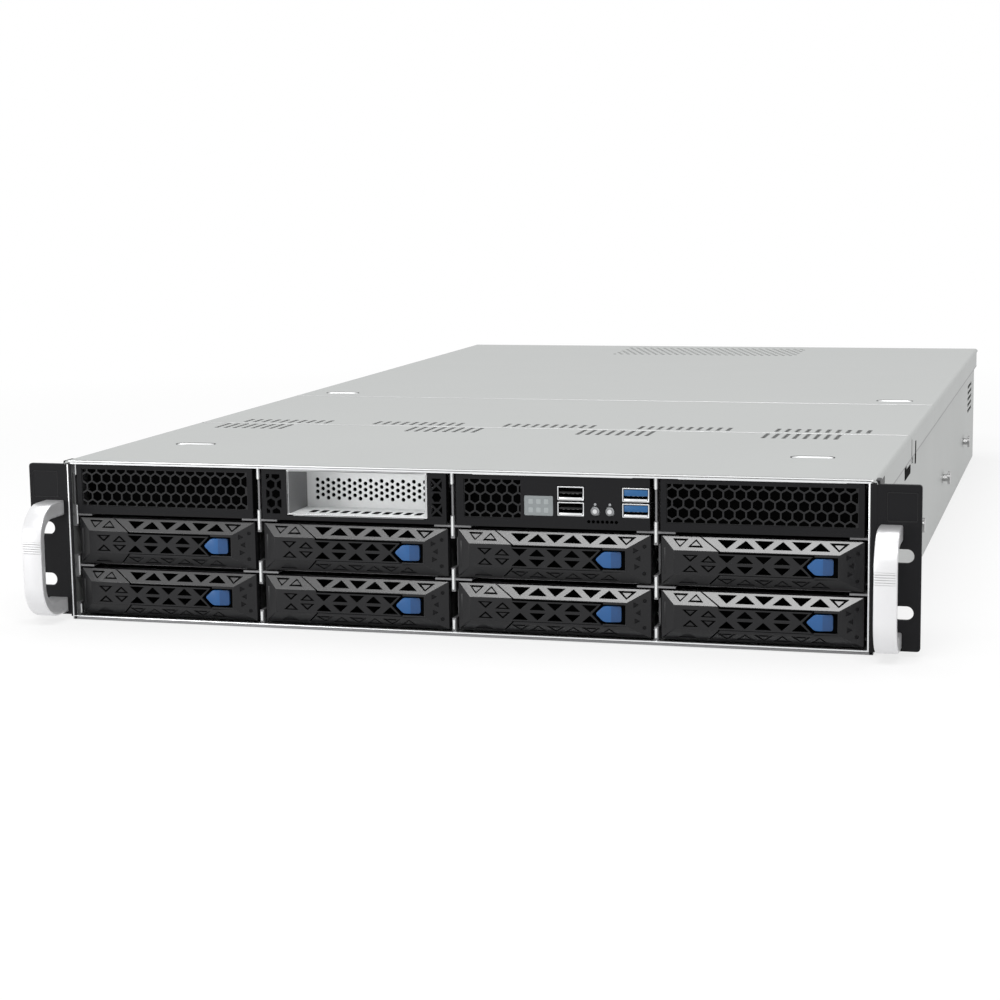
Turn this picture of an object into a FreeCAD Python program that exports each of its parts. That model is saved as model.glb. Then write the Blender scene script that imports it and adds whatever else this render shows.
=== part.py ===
"""A 2U rack server as an assembly of separate pieces, in millimetres.

Frame: +Z up, the front faces -Y, +X to the right seen from the front. The origin is on the
underside, mid-width, in the plane of the rack posts, which is the back face of the ears.
"""
import FreeCAD, Part
import Sketcher
import math
import os
import re

SIZES = {
    # whole chassis, sheet steel and clearances
    "chassis_width": 439.5, "chassis_depth": 780.0, "chassis_height": 88.0,
    "sheet_steel": 1.2, "gap": 0.3, "top_lip": 6.0, "top_lip_start": 34.0,
    # rack ears with their slots and blank label fields
    "ear_span": 482.6, "ear_plate": 2.5, "ear_bottom": 2.5, "ear_height": 83.5,
    "ear_flange_depth": 30.0, "ear_corner": 2.0, "ear_slot_pitch_x": 465.1,
    "ear_slot_pitch_z": 28.575, "ear_slot_low": 21.8, "ear_slot_width": 7.0,
    "ear_slot_length": 10.5, "label_margin": 2.5, "label_side": 14.0, "label_low": 68.0, "label_depth": 0.6,
    # pull handles on the ears
    "handle_middle_x": 226.6, "handle_width": 11.4, "handle_reach": 29.0, "handle_bottom": 3.0,
    "handle_height": 61.5, "handle_grip": 4.5, "handle_leg": 8.0, "handle_round": 18.0,
    "handle_inner_bevel": 9.0,
    # drive bays: four columns, two rows
    "bay_pitch": 108.0, "bay_floor": 3.0, "row_pitch": 28.2, "carrier_width": 102.6,
    "carrier_height": 25.2, "cage_steel": 1.0, "cage_inset": 3.0, "cage_depth": 184.0,
    "web_cutback": 9.0, "tab_length": 10.0, "post_width": 2.0, "post_segment": 12.0,
    "post_depth": 17.0, "runner_setback": 2.0,
    # carrier bezel: a shallow frustum with a lever let into it
    "bezel_edge": 3.0, "bezel_rise": 4.0, "bezel_back": 7.2, "face_left": 7.2, "face_right": 90.8,
    "face_low": 6.2, "face_high": 18.6, "groove": 0.5, "back_plate": 2.0,
    "lever_top_left": 20.0, "lever_low_left": 23.5, "lever_bar_start": 30.0,
    "lever_bar_end": 72.0, "lever_bar_low": 6.6, "lever_bar_high": 17.4, "lever_skin": 2.6, "bar_seat": 4.0,
    "pin_x": 3.6, "pin_y": 4.5, "pin_radius": 1.0, "pin_gap": 0.08, "knuckle_radius": 2.1,
    "lug_half": 1.3, "lug_reach": 1.1, "lug_low": 2.4, "lug_height": 2.8,
    "latch_left": 73.2, "latch_shoulder": 78.0, "latch_right": 88.1, "latch_low": 8.0,
    "latch_high": 16.4, "latch_travel": 2.0, "latch_thick": 3.4,
    "band_vent_start": 32.6, "band_vent_pitch": 9.45, "band_vent_width": 7.6, "band_margin": 1.2,
    "cell_start": 32.0, "cell_pitch": 8.85, "cell_width": 7.4, "cell_web": 1.2, "cell_bar": 0.7,
    "rail_thick": 1.8, "rail_length": 168.0, "rail_height": 20.0, "rail_inset": 1.0,
    "cross_bar": 12.0, "cross_bar_start": 30.0,
    # top row of front panels above the drive bays
    "panel_high": 86.4, "panel_steel": 1.2, "panel_inset": 1.0,
    "panel_shelf": 14.0, "hex_pitch": 7.4, "hex_across": 6.3, "field_margin_x": 3.0,
    "field_low": 63.4, "field_high": 83.6,
    # shallow galvanised tray bay with its black bezel
    "slot_left": 91.0, "slot_right": 13.2, "slot_low": 61.5, "slot_high": 85.8,
    "slot_depth": 29.0, "slot_wall": 0.8, "slot_stand": 0.4, "slot_hole": 2.6,
    "slot_hole_pitch": 6.6, "slot_hole_margin": 7.0, "cross_vent": 5.0, "cross_gap": 0.6,
    "bezel_vent_margin": 3.0, "bezel_bar": 1.2,
    # operator panel: light window, sockets and buttons
    "io_field_left": 6.0, "io_field_right": 37.5, "window_left": 39.2, "window_right": 54.7,
    "window_low": 65.0, "window_high": 75.5, "window_thick": 2.2, "window_gap": 0.15,
    "window_flange": 1.0,
    "usb_width": 14.0, "usb_height": 7.2, "usb_depth": 14.0, "usb_shell": 0.5,
    "usb_stand": 0.3, "usb_back": 2.0, "usb_tongue": 1.9, "tongue_inset": 1.2,
    "tongue_lift": 0.2, "usb2_middle_x": 64.0, "usb3_middle_x": 98.0, "usb_low_z": 69.0,
    "usb_high_z": 77.1, "power_x": 76.8, "reset_x": 84.5, "button_z": 68.2,
    "button_radius": 2.3, "button_gap": 0.3, "button_flange": 3.2, "button_stand": 1.0,
    "button_collar": 1.2, "button_stem": 3.0, "button_length": 7.0,
    # covers
    "lid_flange": 13.5, "flange_gap": 2.0, "front_lid_depth": 185.0, "middle_lid_depth": 165.0,
    "rear_overhang": 20.0, "rear_flange_end": 6.0, "hem_height": 1.9, "hem_thick": 0.8,
    "vent_width": 3.0, "vent_length": 26.0, "vent_pitch": 5.9, "vent_margin": 4.0,
    "dimple_length": 24.0, "dimple_width": 11.0, "dimple_depth": 0.6, "front_dimple_x": 177.0,
    "front_dimple_y": 80.0, "rear_dimple_x": 192.0, "rear_dimple_y": 22.0,
    # studs that hang the chassis in its slide rails
    "stud_start": 245.0, "stud_pitch": 208.0, "stud_z": 26.5, "stud_neck": 2.5,
    "stud_head": 4.5, "stud_neck_length": 3.2, "stud_head_length": 1.6,
    # circuit board behind the drives
    "backplane_y": 188.0, "board_thick": 1.6, "backplane_high": 56.0, "air_slot_inset": 14.0,
    "air_slot_low": 16.0, "air_slot_high": 23.0, "drive_socket_width": 42.0,
    "drive_socket_low": 3.0, "drive_socket_height": 5.0, "drive_socket_depth": 4.0,
    # fans
    "fan_y": 216.0, "fan_depth": 38.0, "fan_pitch": 107.0, "fan_square": 82.0, "fan_bore": 38.5,
    "fan_hub": 19.0, "fan_seat": 17.0, "fan_spoke": 3.0, "fan_sill": 3.0, "fan_tip": 37.5,
    "blade_pitch": 40.0, "blade_thick": 1.4, "blade_root": 1.5, "blade_gap": 0.8, "fan_low": 1.5,
    "hub_depth": 26.0,
    # main board and what stands on it
    "board_y": 290.0, "board_depth": 214.0, "board_width": 340.0, "standoff": 6.5,
    "standoff_inset": 12.0, "standoff_across": 7.0, "socket_height": 6.0, "socket_reach": 35.0,
    "heatsink_x": 76.0, "heatsink_y": 381.0, "heatsink_side": 92.0, "heatsink_height": 60.0,
    "heatsink_base": 5.0, "fin_pitch": 9.0, "fin_thick": 1.0,
    "memory_length": 133.0, "memory_height": 31.0, "memory_pitch": 10.0, "memory_thick": 1.4,
    "memory_socket": 3.0, "memory_socket_height": 5.0, "memory_y": 305.0, "memory_bank": 146.0,
    "io_left": -118.0, "io_right": -30.0, "io_window_low": 8.0, "io_window_high": 36.0,
    "port_depth": 22.0, "port_gap": 2.0, "port_pitch": 20.0, "port_width": 16.0, "port_stand": 1.0,
    # plug-in supplies
    "supply_width": 73.5, "supply_height": 39.5, "supply_length": 265.0, "supply_left": 214.5,
    "supply_shelf": 1.0, "supply_stand": 1.0, "supply_cage_reach": 4.0,
    "inlet_x": 18.5, "inlet_z": 18.0, "inlet_width": 25.0, "inlet_height": 18.0,
    "inlet_depth": 15.0, "inlet_pin": 2.0, "inlet_pin_pitch": 5.5,
    "exhaust_x": 37.0, "exhaust_width": 2.5, "exhaust_pitch": 4.4, "exhaust_margin": 4.5,
    "exhaust_depth": 4.0, "grip_x": 33.0, "grip_length": 30.0, "grip_width": 16.0,
    "grip_thick": 2.0, "grip_reach": 19.0, "supply_latch_inset": 1.5, "supply_latch_width": 5.5,
    "supply_latch_low": 10.0, "supply_latch_height": 14.0, "supply_latch_reach": 6.0,
    # expansion cage and the vents of the rear and side walls
    "expansion_depth": 190.0, "expansion_left": 120.0, "expansion_right": 206.0,
    "expansion_low": 43.0, "cage_leg": 12.0, "slot_cover_pitch": 20.32, "card_inset": 6.0,
    "card_low": 4.0, "card_cover_length": 96.0, "card_cover_height": 14.0, "card_cover_gap": 1.0,
    "card_pitch_x": 104.0, "rear_frame": 3.0, "rear_vent_length": 22.0, "rear_vent_low": 10.0,
    "rear_vent_height": 4.0, "rear_vent_pitch": 7.0, "side_vent_low": 44.0,
    "side_vent_height": 2.6, "side_vent_pitch": 4.8, "side_vent_start": 700.0,
    "side_vent_length": 45.0,
}

doc = FreeCAD.newDocument("RackServer")
sheet = doc.addObject("Spreadsheet::Sheet", "Dimensions")
for row, (word, size) in enumerate(SIZES.items(), 1):
    sheet.set(f"B{row}", str(size))
    sheet.setAlias(f"B{row}", word)
doc.recompute()

FRONT = "-ear_plate"                                   # front plane of the chassis, along Y
REAR = "chassis_depth - ear_plate"
SIDE = "chassis_width / 2 - sheet_steel - gap"         # outer face of a side wall
INNER = "chassis_width / 2 - 2 * sheet_steel - gap"    # its inner face
LID_LOW = "chassis_height - sheet_steel"
WALL_TOP = "chassis_height - sheet_steel - gap"
MIDDLE_SHELF = "bay_floor + (carrier_height + row_pitch - cage_steel) / 2"
TOP_SHELF = f"{MIDDLE_SHELF} + row_pitch"              # shelf above the upper row of carriers
PANEL_LOW = f"{TOP_SHELF} + cage_steel + gap"
AXES = {"XY": ("XY_Plane", "Z"), "XZ": ("XZ_Plane", "Y"), "YZ": ("YZ_Plane", "X")}
parts = []


def bound(text):
    """An expression whose words are pointed at their cells in the sheet."""
    return re.sub(r"[a-z][a-z_0-9]*", lambda found: "Dimensions." + found.group()
                  if found.group() in SIZES else found.group(), str(text))


def number(text):
    """The present value of an expression."""
    return float(sheet.evalExpression(bound(text)))


def drive(thing, name, text):
    """Binds one property, constraint or placement value to the sheet."""
    thing.setExpression(name, bound(text))


def rectangle(left, low, right, high):
    return ("line", [(left, low), (right, low), (right, high), (left, high)])


def polygon(*points):
    return ("line", list(points))


def circle(across, up, radius):
    return ("circle", (across, up, radius))


def slot(across, up, length, width):
    return ("slot", (across, up, length, width))


def square(across, up, reach):
    """A square whose sides lie at reach from its middle."""
    return rectangle(f"{across} - {reach}", f"{up} - {reach}", f"{across} + {reach}", f"{up} + {reach}")


def triangle(middle, low, high, width):
    """A triangle with its flat side at low and its point at high, which may lie below it."""
    return polygon((f"{middle} - ({width}) / 2", low), (f"{middle} + ({width}) / 2", low), (middle, high))


class Piece:
    """A PartDesign body whose sketches and features follow the sheet."""

    def __init__(self, label, kept=True):
        self.body = doc.addObject("PartDesign::Body", label)
        self.body.Label = label
        self.made = 0
        if kept:
            parts.append(self.body)

    def add(self, kind, name):
        self.made += 1
        return self.body.newObject(kind, f"{self.body.Name}_{name}_{self.made}")

    def origin(self, role):
        return [item for item in self.body.Origin.OriginFeatures if item.Role == role][0]

    def sketch(self, plane, loops, place):
        """A sketch of closed loops on an origin plane moved to place along its axis."""
        made = self.add("Sketcher::SketchObject", "sketch")
        made.AttachmentSupport = (self.origin(AXES[plane][0]), "")
        made.MapMode = "FlatFace"
        turned = "-" if plane == "XZ" else ""
        drive(made, "AttachmentOffset.Base.z", f"{turned}({place})")
        for kind, what in loops:
            {"line": draw_lines, "circle": draw_circle, "slot": draw_slot}[kind](made, what)
        return made

    def pad(self, plane, loops, low, high):
        """Adds material between low and high along the plane's axis."""
        made = self.add("PartDesign::Pad", "pad")
        made.Profile = self.sketch(plane, loops, low)
        made.Reversed = plane == "XZ"
        drive(made, "Length", f"({high}) - ({low})")
        return made

    def cut(self, plane, loops, low, high):
        """Takes material away between low and high along the plane's axis."""
        made = self.add("PartDesign::Pocket", "cut")
        made.Profile = self.sketch(plane, loops, low if plane == "XZ" else high)
        drive(made, "Length", f"({high}) - ({low})")
        return made

    def repeat(self, feature, *directions):
        """Repeats a feature along one or two axes; each is (axis, count, pitch)."""
        made = self.add("PartDesign::LinearPattern", "row")
        made.Originals = [feature]
        for ending, (axis, count, pitch) in zip(("", "2"), directions):
            setattr(made, "Direction" + ending, (self.origin(axis + "_Axis"), [""]))
            setattr(made, "Mode" + ending, "Spacing")
            drive(made, "Offset" + ending, pitch)
            drive(made, "Occurrences" + ending, count)
        self.body.Tip = made
        return made

    def around(self, feature, axis, count):
        made = self.add("PartDesign::PolarPattern", "ring")
        made.Originals = [feature]
        made.Axis = (self.origin(axis + "_Axis"), [""])
        made.Angle = 360
        made.Occurrences = count
        self.body.Tip = made
        return made

    def soften(self, kind, size, wanted):
        """Rounds ("Fillet") or bevels ("Chamfer") the edges that wanted(edge) picks."""
        doc.recompute()
        base = self.body.Tip
        names = [f"Edge{index}" for index, edge in enumerate(base.Shape.Edges, 1) if wanted(edge)]
        made = self.add("PartDesign::" + kind, kind.lower())
        made.Base = (base, names)
        drive(made, "Radius" if kind == "Fillet" else "Size", size)
        return made


def draw_lines(made, points):
    start, total = made.GeometryCount, len(points)
    spots = [FreeCAD.Vector(number(across), number(up), 0) for across, up in points]
    for index in range(total):
        made.addGeometry(Part.LineSegment(spots[index], spots[(index + 1) % total]))
    for index in range(total):
        made.addConstraint(Sketcher.Constraint("Coincident", start + index, 2,
                                               start + (index + 1) % total, 1))
    for index, (across, up) in enumerate(points):
        fix(made, "DistanceX", start + index, 1, across)
        fix(made, "DistanceY", start + index, 1, up)


def draw_circle(made, what):
    across, up, radius = what
    middle = FreeCAD.Vector(number(across), number(up), 0)
    made.addGeometry(Part.Circle(middle, FreeCAD.Vector(0, 0, 1), number(radius)))
    index = made.GeometryCount - 1
    fix(made, "DistanceX", index, 3, across)
    fix(made, "DistanceY", index, 3, up)
    made.addConstraint(Sketcher.Constraint("Radius", index, number(radius)))
    drive(made, f"Constraints[{made.ConstraintCount - 1}]", radius)


def draw_slot(made, what):
    """A slot with round ends along the sketch's first axis."""
    across, up, length, width = what
    radius, reach = number(width) / 2, (number(length) - number(width)) / 2
    centre, start = FreeCAD.Vector(number(across), number(up), 0), made.GeometryCount
    ends = (centre - FreeCAD.Vector(reach, 0, 0), centre + FreeCAD.Vector(reach, 0, 0))
    for end, turn in zip(ends, (math.pi / 2, -math.pi / 2)):
        ring = Part.Circle(end, FreeCAD.Vector(0, 0, 1), radius)
        made.addGeometry(Part.ArcOfCircle(ring, turn, turn + math.pi))
    for height, first, last in ((-radius, 0, 1), (radius, 1, 0)):
        lift = FreeCAD.Vector(0, height, 0)
        made.addGeometry(Part.LineSegment(ends[first] + lift, ends[last] + lift))
    for pair in ((0, 2, 2, 1), (2, 2, 1, 1), (1, 2, 3, 1), (3, 2, 0, 1)):
        made.addConstraint(Sketcher.Constraint("Tangent", start + pair[0], pair[1], start + pair[2], pair[3]))
    made.addConstraint(Sketcher.Constraint("Horizontal", start + 2))
    made.addConstraint(Sketcher.Constraint("Radius", start, radius))
    drive(made, f"Constraints[{made.ConstraintCount - 1}]", f"({width}) / 2")
    fix(made, "DistanceX", start, 3, f"{across} - (({length}) - ({width})) / 2")
    fix(made, "DistanceX", start + 1, 3, f"{across} + (({length}) - ({width})) / 2")
    fix(made, "DistanceY", start, 3, up)


def fix(made, kind, index, point, text):
    made.addConstraint(Sketcher.Constraint(kind, -1, 1, index, point, number(text)))
    if bound(text) != str(text):
        drive(made, f"Constraints[{made.ConstraintCount - 1}]", text)


def again(source, label, right="0", back="0", up="0"):
    """A further copy of a sub-part, moved from where the first one lies."""
    made = doc.addObject("Part::Compound", label)
    made.Label = label
    made.Links = [source]
    for axis, text in zip("xyz", (right, back, up)):
        drive(made, f"Placement.Base.{axis}", text)
    parts.append(made)
    return made


def mirrored(source, label):
    """The same piece for the other side of the chassis."""
    made = doc.addObject("Part::Mirroring", label)
    made.Label = label
    made.Source = source
    made.Normal = FreeCAD.Vector(1, 0, 0)
    parts.append(made)
    return made


# ---------------------------------------------------------------- chassis and covers

def chassis_base():
    """Floor, side walls with top lips, and the rear wall with its openings."""
    base = Piece("chassis_base")
    base.pad("XZ", [polygon((f"-({SIDE})", "0"), (SIDE, "0"), (SIDE, WALL_TOP), (INNER, WALL_TOP),
                            (INNER, "sheet_steel"), (f"-({INNER})", "sheet_steel"),
                            (f"-({INNER})", WALL_TOP), (f"-({SIDE})", WALL_TOP))], FRONT, REAR)
    lip = f"{SIDE} - top_lip"
    for left, right in ((lip, INNER), (f"-({INNER})", f"-({lip})")):
        base.pad("XZ", [rectangle(left, f"{WALL_TOP} - sheet_steel", right, WALL_TOP)],
                 f"{FRONT} + top_lip_start", REAR)
    base.pad("XZ", [rectangle(f"-({INNER})", "sheet_steel", INNER, WALL_TOP)],
             f"{REAR} - sheet_steel", REAR)
    rear = (f"{REAR} - 2 * sheet_steel", f"{REAR} + sheet_steel")
    base.cut("XZ", [rectangle("-supply_left - gap", "sheet_steel", "-supply_left + supply_width + 2 * gap",
                              f"{WALL_TOP} - sheet_steel"),
                    rectangle("io_left - gap", "io_window_low", "io_right + gap", "io_window_high"),
                    rectangle("-expansion_left + rear_frame", "expansion_low + rear_frame",
                              "expansion_right - rear_frame", f"{WALL_TOP} - rear_frame")], *rear)
    end = "expansion_right + rear_frame"
    vents = base.cut("XZ", [rectangle(f"{end} - rear_vent_length", "rear_vent_low", end,
                                      "rear_vent_low + rear_vent_height")], *rear)
    base.repeat(vents, ("Z", "4", "rear_vent_pitch"))
    for low, high in ((f"{INNER} - 1", f"{SIDE} + 1"), (f"-({SIDE}) - 1", f"-({INNER}) + 1")):
        slits = base.cut("YZ", [rectangle("side_vent_start", "side_vent_low",
                                          "side_vent_start + side_vent_length",
                                          "side_vent_low + side_vent_height")], low, high)
        base.repeat(slits, ("Z", "5", "side_vent_pitch"))
    posts = base.pad("XY", [hexagon("-board_width / 2 + standoff_inset", "board_y + standoff_inset",
                                    "standoff_across")], "sheet_steel", "sheet_steel + standoff")
    base.repeat(posts, ("X", "3", "board_width / 2 - standoff_inset"),
                ("Y", "3", "board_depth / 2 - standoff_inset"))


def lid(label, start, end, flange_start, flange_end):
    """A cover plate with a flange folded down over each side wall."""
    cover = Piece(label)
    half = "chassis_width / 2"
    cover.pad("XY", [rectangle(f"-{half}", start, half, end)], LID_LOW, "chassis_height")
    for left, right in ((f"-{half}", f"-{half} + sheet_steel"), (f"{half} - sheet_steel", half)):
        cover.pad("XY", [rectangle(left, flange_start, right, flange_end)],
                  "chassis_height - lid_flange", LID_LOW)
    return cover


FRONT_VENTS = ("-199", "-76", "29", "138")             # left edges of the vent groups in the covers
MIDDLE_VENTS = ("-192", "-107", "-25", "58", "142")


def vents(cover, left, low):
    """A group of narrow cooling slots along Y, repeated across X."""
    first = cover.cut("XY", [rectangle(left, low, f"{left} + vent_width", f"{low} + vent_length")],
                      f"{LID_LOW} - 1", "chassis_height + 1")
    cover.repeat(first, ("X", "8", "vent_pitch"))


def dimples(cover, across, along):
    """Shallow finger recesses that give the lid its grip."""
    for side in ("", "-"):
        cover.cut("XY", [slot(f"{side}({across})", along, "dimple_length", "dimple_width")],
                  "chassis_height - dimple_depth", "chassis_height + 1")


def covers():
    """Lift-off front and rear covers and the fixed cover between them."""
    front_end = f"{FRONT} + front_lid_depth"
    middle_end = f"{front_end} + middle_lid_depth"
    front = lid("front_lid", FRONT, f"{front_end} - gap",
                f"{FRONT} + ear_flange_depth + flange_gap", f"{front_end} - gap")
    hem_end = f"{INNER} - gap"
    front.pad("XY", [rectangle(f"-({hem_end})", FRONT, hem_end, f"{FRONT} + hem_thick")],
              "chassis_height - hem_height", LID_LOW)
    for left in FRONT_VENTS:
        vents(front, left, f"{front_end} - vent_length - vent_margin")
    dimples(front, "front_dimple_x", f"{FRONT} + front_dimple_y")
    middle = lid("middle_lid", front_end, f"{middle_end} - gap", front_end, f"{middle_end} - gap")
    for left in MIDDLE_VENTS:
        vents(middle, left, f"{front_end} + vent_margin")
    rear = lid("rear_lid", middle_end, f"{REAR} + rear_overhang", middle_end, f"{REAR} + rear_flange_end")
    dimples(rear, "rear_dimple_x", f"{middle_end} + rear_dimple_y")


def rail_studs():
    """Three headed studs on each side wall, with eight-sided necks."""
    studs = Piece("rail_studs")
    neck_end = f"{SIDE} + stud_neck_length"
    head_end = f"{neck_end} + stud_head_length"
    for index in range(3):
        place = (f"{FRONT} + stud_start + {index} * stud_pitch", "stud_z")
        neck, head = regular(8, *place, "stud_neck"), circle(*place, "stud_head")
        studs.pad("YZ", [neck], SIDE, neck_end)
        studs.pad("YZ", [head], neck_end, head_end)
        studs.pad("YZ", [neck], f"-({neck_end})", f"-({SIDE})")
        studs.pad("YZ", [head], f"-({head_end})", f"-({neck_end})")


# ---------------------------------------------------------------- ears and handles

def ears():
    """Ear plate with two rack slots, a blank label field and a flange along the wall."""
    ear = Piece("right_ear")
    tip, top = "ear_span / 2", "ear_bottom + ear_height"
    ear.pad("XZ", [rectangle(SIDE, "ear_bottom", tip, top)], FRONT, "0")
    ear.pad("XZ", [rectangle(SIDE, "ear_bottom", "chassis_width / 2", top)],
            "0", f"{FRONT} + ear_flange_depth")
    slots = ear.cut("XZ", [slot("ear_slot_pitch_x / 2", "ear_slot_low", "ear_slot_length", "ear_slot_width")],
                    f"{FRONT} - 1", "1")
    ear.repeat(slots, ("Z", "2", "ear_slot_pitch_z"))
    field_edge = f"{tip} - label_margin"
    ear.cut("XZ", [rectangle(f"{field_edge} - label_side", "label_low",
                             field_edge, "label_low + label_side")],
            f"{FRONT} - 1", f"{FRONT} + label_depth")
    limit = number(tip) - 1e-3
    ear.soften("Fillet", "ear_corner", lambda edge: edge.BoundBox.XMin > limit and edge.BoundBox.YLength > 1)
    mirrored(ear.body, "left_ear")


def handles():
    """A strap bent to a bow, with wide rounds outside and thicker feet on the ear."""
    handle = Piece("right_handle")
    low, high = "handle_bottom", "handle_bottom + handle_height"
    face, inner_face = f"{FRONT} - handle_reach", f"{FRONT} - handle_reach + handle_grip"
    sides = ("handle_middle_x - handle_width / 2", "handle_middle_x + handle_width / 2")
    handle.pad("YZ", [rectangle(face, low, FRONT, high)], *sides)
    handle.cut("YZ", [rectangle(inner_face, f"{low} + handle_leg", f"{FRONT} + 1", f"{high} - handle_leg")],
               *sides)
    for kind, place, size in (("Fillet", face, "handle_round"),
                              ("Chamfer", inner_face, "handle_inner_bevel")):
        spot = number(place)
        handle.soften(kind, size, lambda edge, spot=spot: edge.BoundBox.XLength > 1
                      and abs(edge.BoundBox.YMax - spot) < 1e-3)
    mirrored(handle.body, "left_handle")


# ---------------------------------------------------------------- drive cage and carriers

def drive_cage():
    """Two shelves between upright webs, with front tabs, posts and runners for the carriers."""
    front, back = f"{FRONT} + cage_inset", f"{FRONT} + cage_inset + cage_depth"
    cut_back = f"{front} + web_cutback"
    shelves = Piece("cage_shelves", kept=False)
    webs = Piece("cage_webs", kept=False)
    runners = Piece("cage_runners", kept=False)
    width = "2 * bay_pitch + cage_steel / 2"
    for shelf in (MIDDLE_SHELF, TOP_SHELF):
        top = f"{shelf} + cage_steel"
        shelves.pad("XY", [rectangle(f"-({width})", cut_back, width, back)], shelf, top)
        for left, right in ((f"-({width})", "-2 * bay_pitch + tab_length"),
                            ("2 * bay_pitch - tab_length", width)):
            shelves.pad("XY", [rectangle(left, front, right, cut_back)], shelf, top)
        tabs = shelves.pad("XY", [rectangle("-bay_pitch - tab_length", front, "-bay_pitch + tab_length",
                                            cut_back)], shelf, top)
        shelves.repeat(tabs, ("X", "3", "bay_pitch"))
    half = "post_segment / 2"
    for low, high in (("sheet_steel", MIDDLE_SHELF), (f"{MIDDLE_SHELF} + cage_steel", TOP_SHELF)):
        one = webs.pad("XY", [rectangle("-2 * bay_pitch - cage_steel / 2", cut_back,
                                        "-2 * bay_pitch + cage_steel / 2", back)], low, high)
        webs.repeat(one, ("X", "5", "bay_pitch"))
        foot = f"bay_floor + {half}" if low == "sheet_steel" else f"{low} - cage_steel / 2 + {half}"
        for start, end in ((low, foot), (f"{high} - {half}", high)):
            posts = webs.pad("XY", [post_section(front, f"{cut_back} + cage_steel")], start, end)
            webs.repeat(posts, ("X", "5", "bay_pitch"))
    top = f"{TOP_SHELF} + cage_steel"
    upper = webs.pad("XY", [rectangle("-2 * bay_pitch - cage_steel / 2", f"{front} + cage_steel / 2",
                                      "-2 * bay_pitch + cage_steel / 2", f"{front} + post_depth")],
                     top, f"{WALL_TOP} - gap")
    webs.repeat(upper, ("X", "5", "bay_pitch"))
    for start, end in ((top, f"{TOP_SHELF} + {half}"), (f"{WALL_TOP} - gap - {half}", f"{WALL_TOP} - gap")):
        posts = webs.pad("XY", [post_section(front, f"{cut_back} + cage_steel")], start, end)
        webs.repeat(posts, ("X", "5", "bay_pitch"))
    for lift in ("0", "row_pitch"):
        top = f"bay_floor + (carrier_height - rail_height) / 2 + {lift} - gap"
        low = f"{top} - cage_steel"
        reach = "(bay_pitch - carrier_width) / 2 + rail_inset + rail_thick"
        pair = runners.pad("XZ", [rectangle("-2 * bay_pitch + cage_steel / 2", low,
                                            f"-2 * bay_pitch + {reach}", top),
                                  rectangle(f"-bay_pitch - ({reach})", low,
                                            "-bay_pitch - cage_steel / 2", top)],
                           f"{cut_back} + runner_setback", back)
        runners.repeat(pair, ("X", "4", "bay_pitch"))
    cage = doc.addObject("Part::Compound", "drive_cage")
    cage.Label = "drive_cage"
    cage.Links = [shelves.body, webs.body, runners.body]
    parts.append(cage)


def post_section(front, back):
    """Plan of a post: the folded front edge of a web."""
    return rectangle("-2 * bay_pitch - post_width / 2", front, "-2 * bay_pitch + post_width / 2", back)


CARRIER_X = "-1.5 * bay_pitch - carrier_width / 2"     # lower left corner of the first carrier
FACE_Y = f"{FRONT} + bezel_edge - bezel_rise"          # raised face of a carrier


def across(text):
    return f"{CARRIER_X} + {text}"


def above(text):
    return f"bay_floor + {text}"


def bezel_blank(piece):
    """The frustum that bezel and lever are both cut from: a block with four bevelled sides."""
    edge, back = f"{FRONT} + bezel_edge", f"{FRONT} + bezel_back"
    outer = rectangle(CARRIER_X, above("0"), across("carrier_width"), above("carrier_height"))
    piece.pad("XZ", [outer], FACE_Y, back)
    left, right = across("-1"), across("carrier_width + 1")
    for face, rim, past in (("face_low", "0", "-1"), ("face_high", "carrier_height", "carrier_height + 1")):
        piece.cut("YZ", [bevel(FACE_Y, edge, above(face), above(rim), above(past))], left, right)
    for face, rim, past in (("face_left", "0", "-1"), ("face_right", "carrier_width", "carrier_width + 1")):
        turned = bevel(FACE_Y, edge, across(face), across(rim), across(past))[1]
        piece.cut("XY", [polygon(*[(spot, depth) for depth, spot in turned])], above("-1"),
                  above("carrier_height + 1"))


def bevel(front, edge, face, rim, past):
    """Section of the material cut away outside one bevelled side."""
    return polygon((front, face), (edge, rim), (edge, past), (f"{front} - 1", past), (f"{front} - 1", face))


def lever_outline(room):
    """Left block over the full height, and the bar that runs to the latch."""
    low, high = f"lever_bar_low - {room}", f"lever_bar_high + {room}"
    return polygon((across("-1"), above("-1")), (across(f"lever_low_left + {room}"), above("-1")),
                   (across(f"lever_low_left + {room}"), above("0")),
                   (across(f"lever_bar_start + {room}"), above(low)),
                   (across(f"lever_bar_end + {room}"), above(low)),
                   (across(f"lever_bar_end + {room}"), above(high)),
                   (across(f"lever_bar_start + {room}"), above(high)),
                   (across(f"lever_top_left + {room}"), above("carrier_height")),
                   (across(f"lever_top_left + {room}"), above("carrier_height + 1")),
                   (across("-1"), above("carrier_height + 1")))


def latch_outline(room, travel):
    """Square body with an arrow point towards the lever."""
    middle = "(latch_low + latch_high) / 2"
    return polygon((across(f"latch_left - {room}"), above(middle)),
                   (across(f"latch_shoulder - {room}"), above(f"latch_low - {room}")),
                   (across(f"latch_right + {room} + {travel}"), above(f"latch_low - {room}")),
                   (across(f"latch_right + {room} + {travel}"), above(f"latch_high + {room}")),
                   (across(f"latch_shoulder - {room}"), above(f"latch_high + {room}")))


def band_vents():
    """Triangular vents in the band above the lever bar, point down and point up in turn."""
    loops = []
    for index in range(6):
        flat, point = above("carrier_height - band_margin"), above("face_high + band_margin")
        if index % 2:
            flat, point = point, flat
        loops.append(triangle(across(f"band_vent_start + {index} * band_vent_pitch"), flat, point,
                              "band_vent_width"))
    return loops


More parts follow.
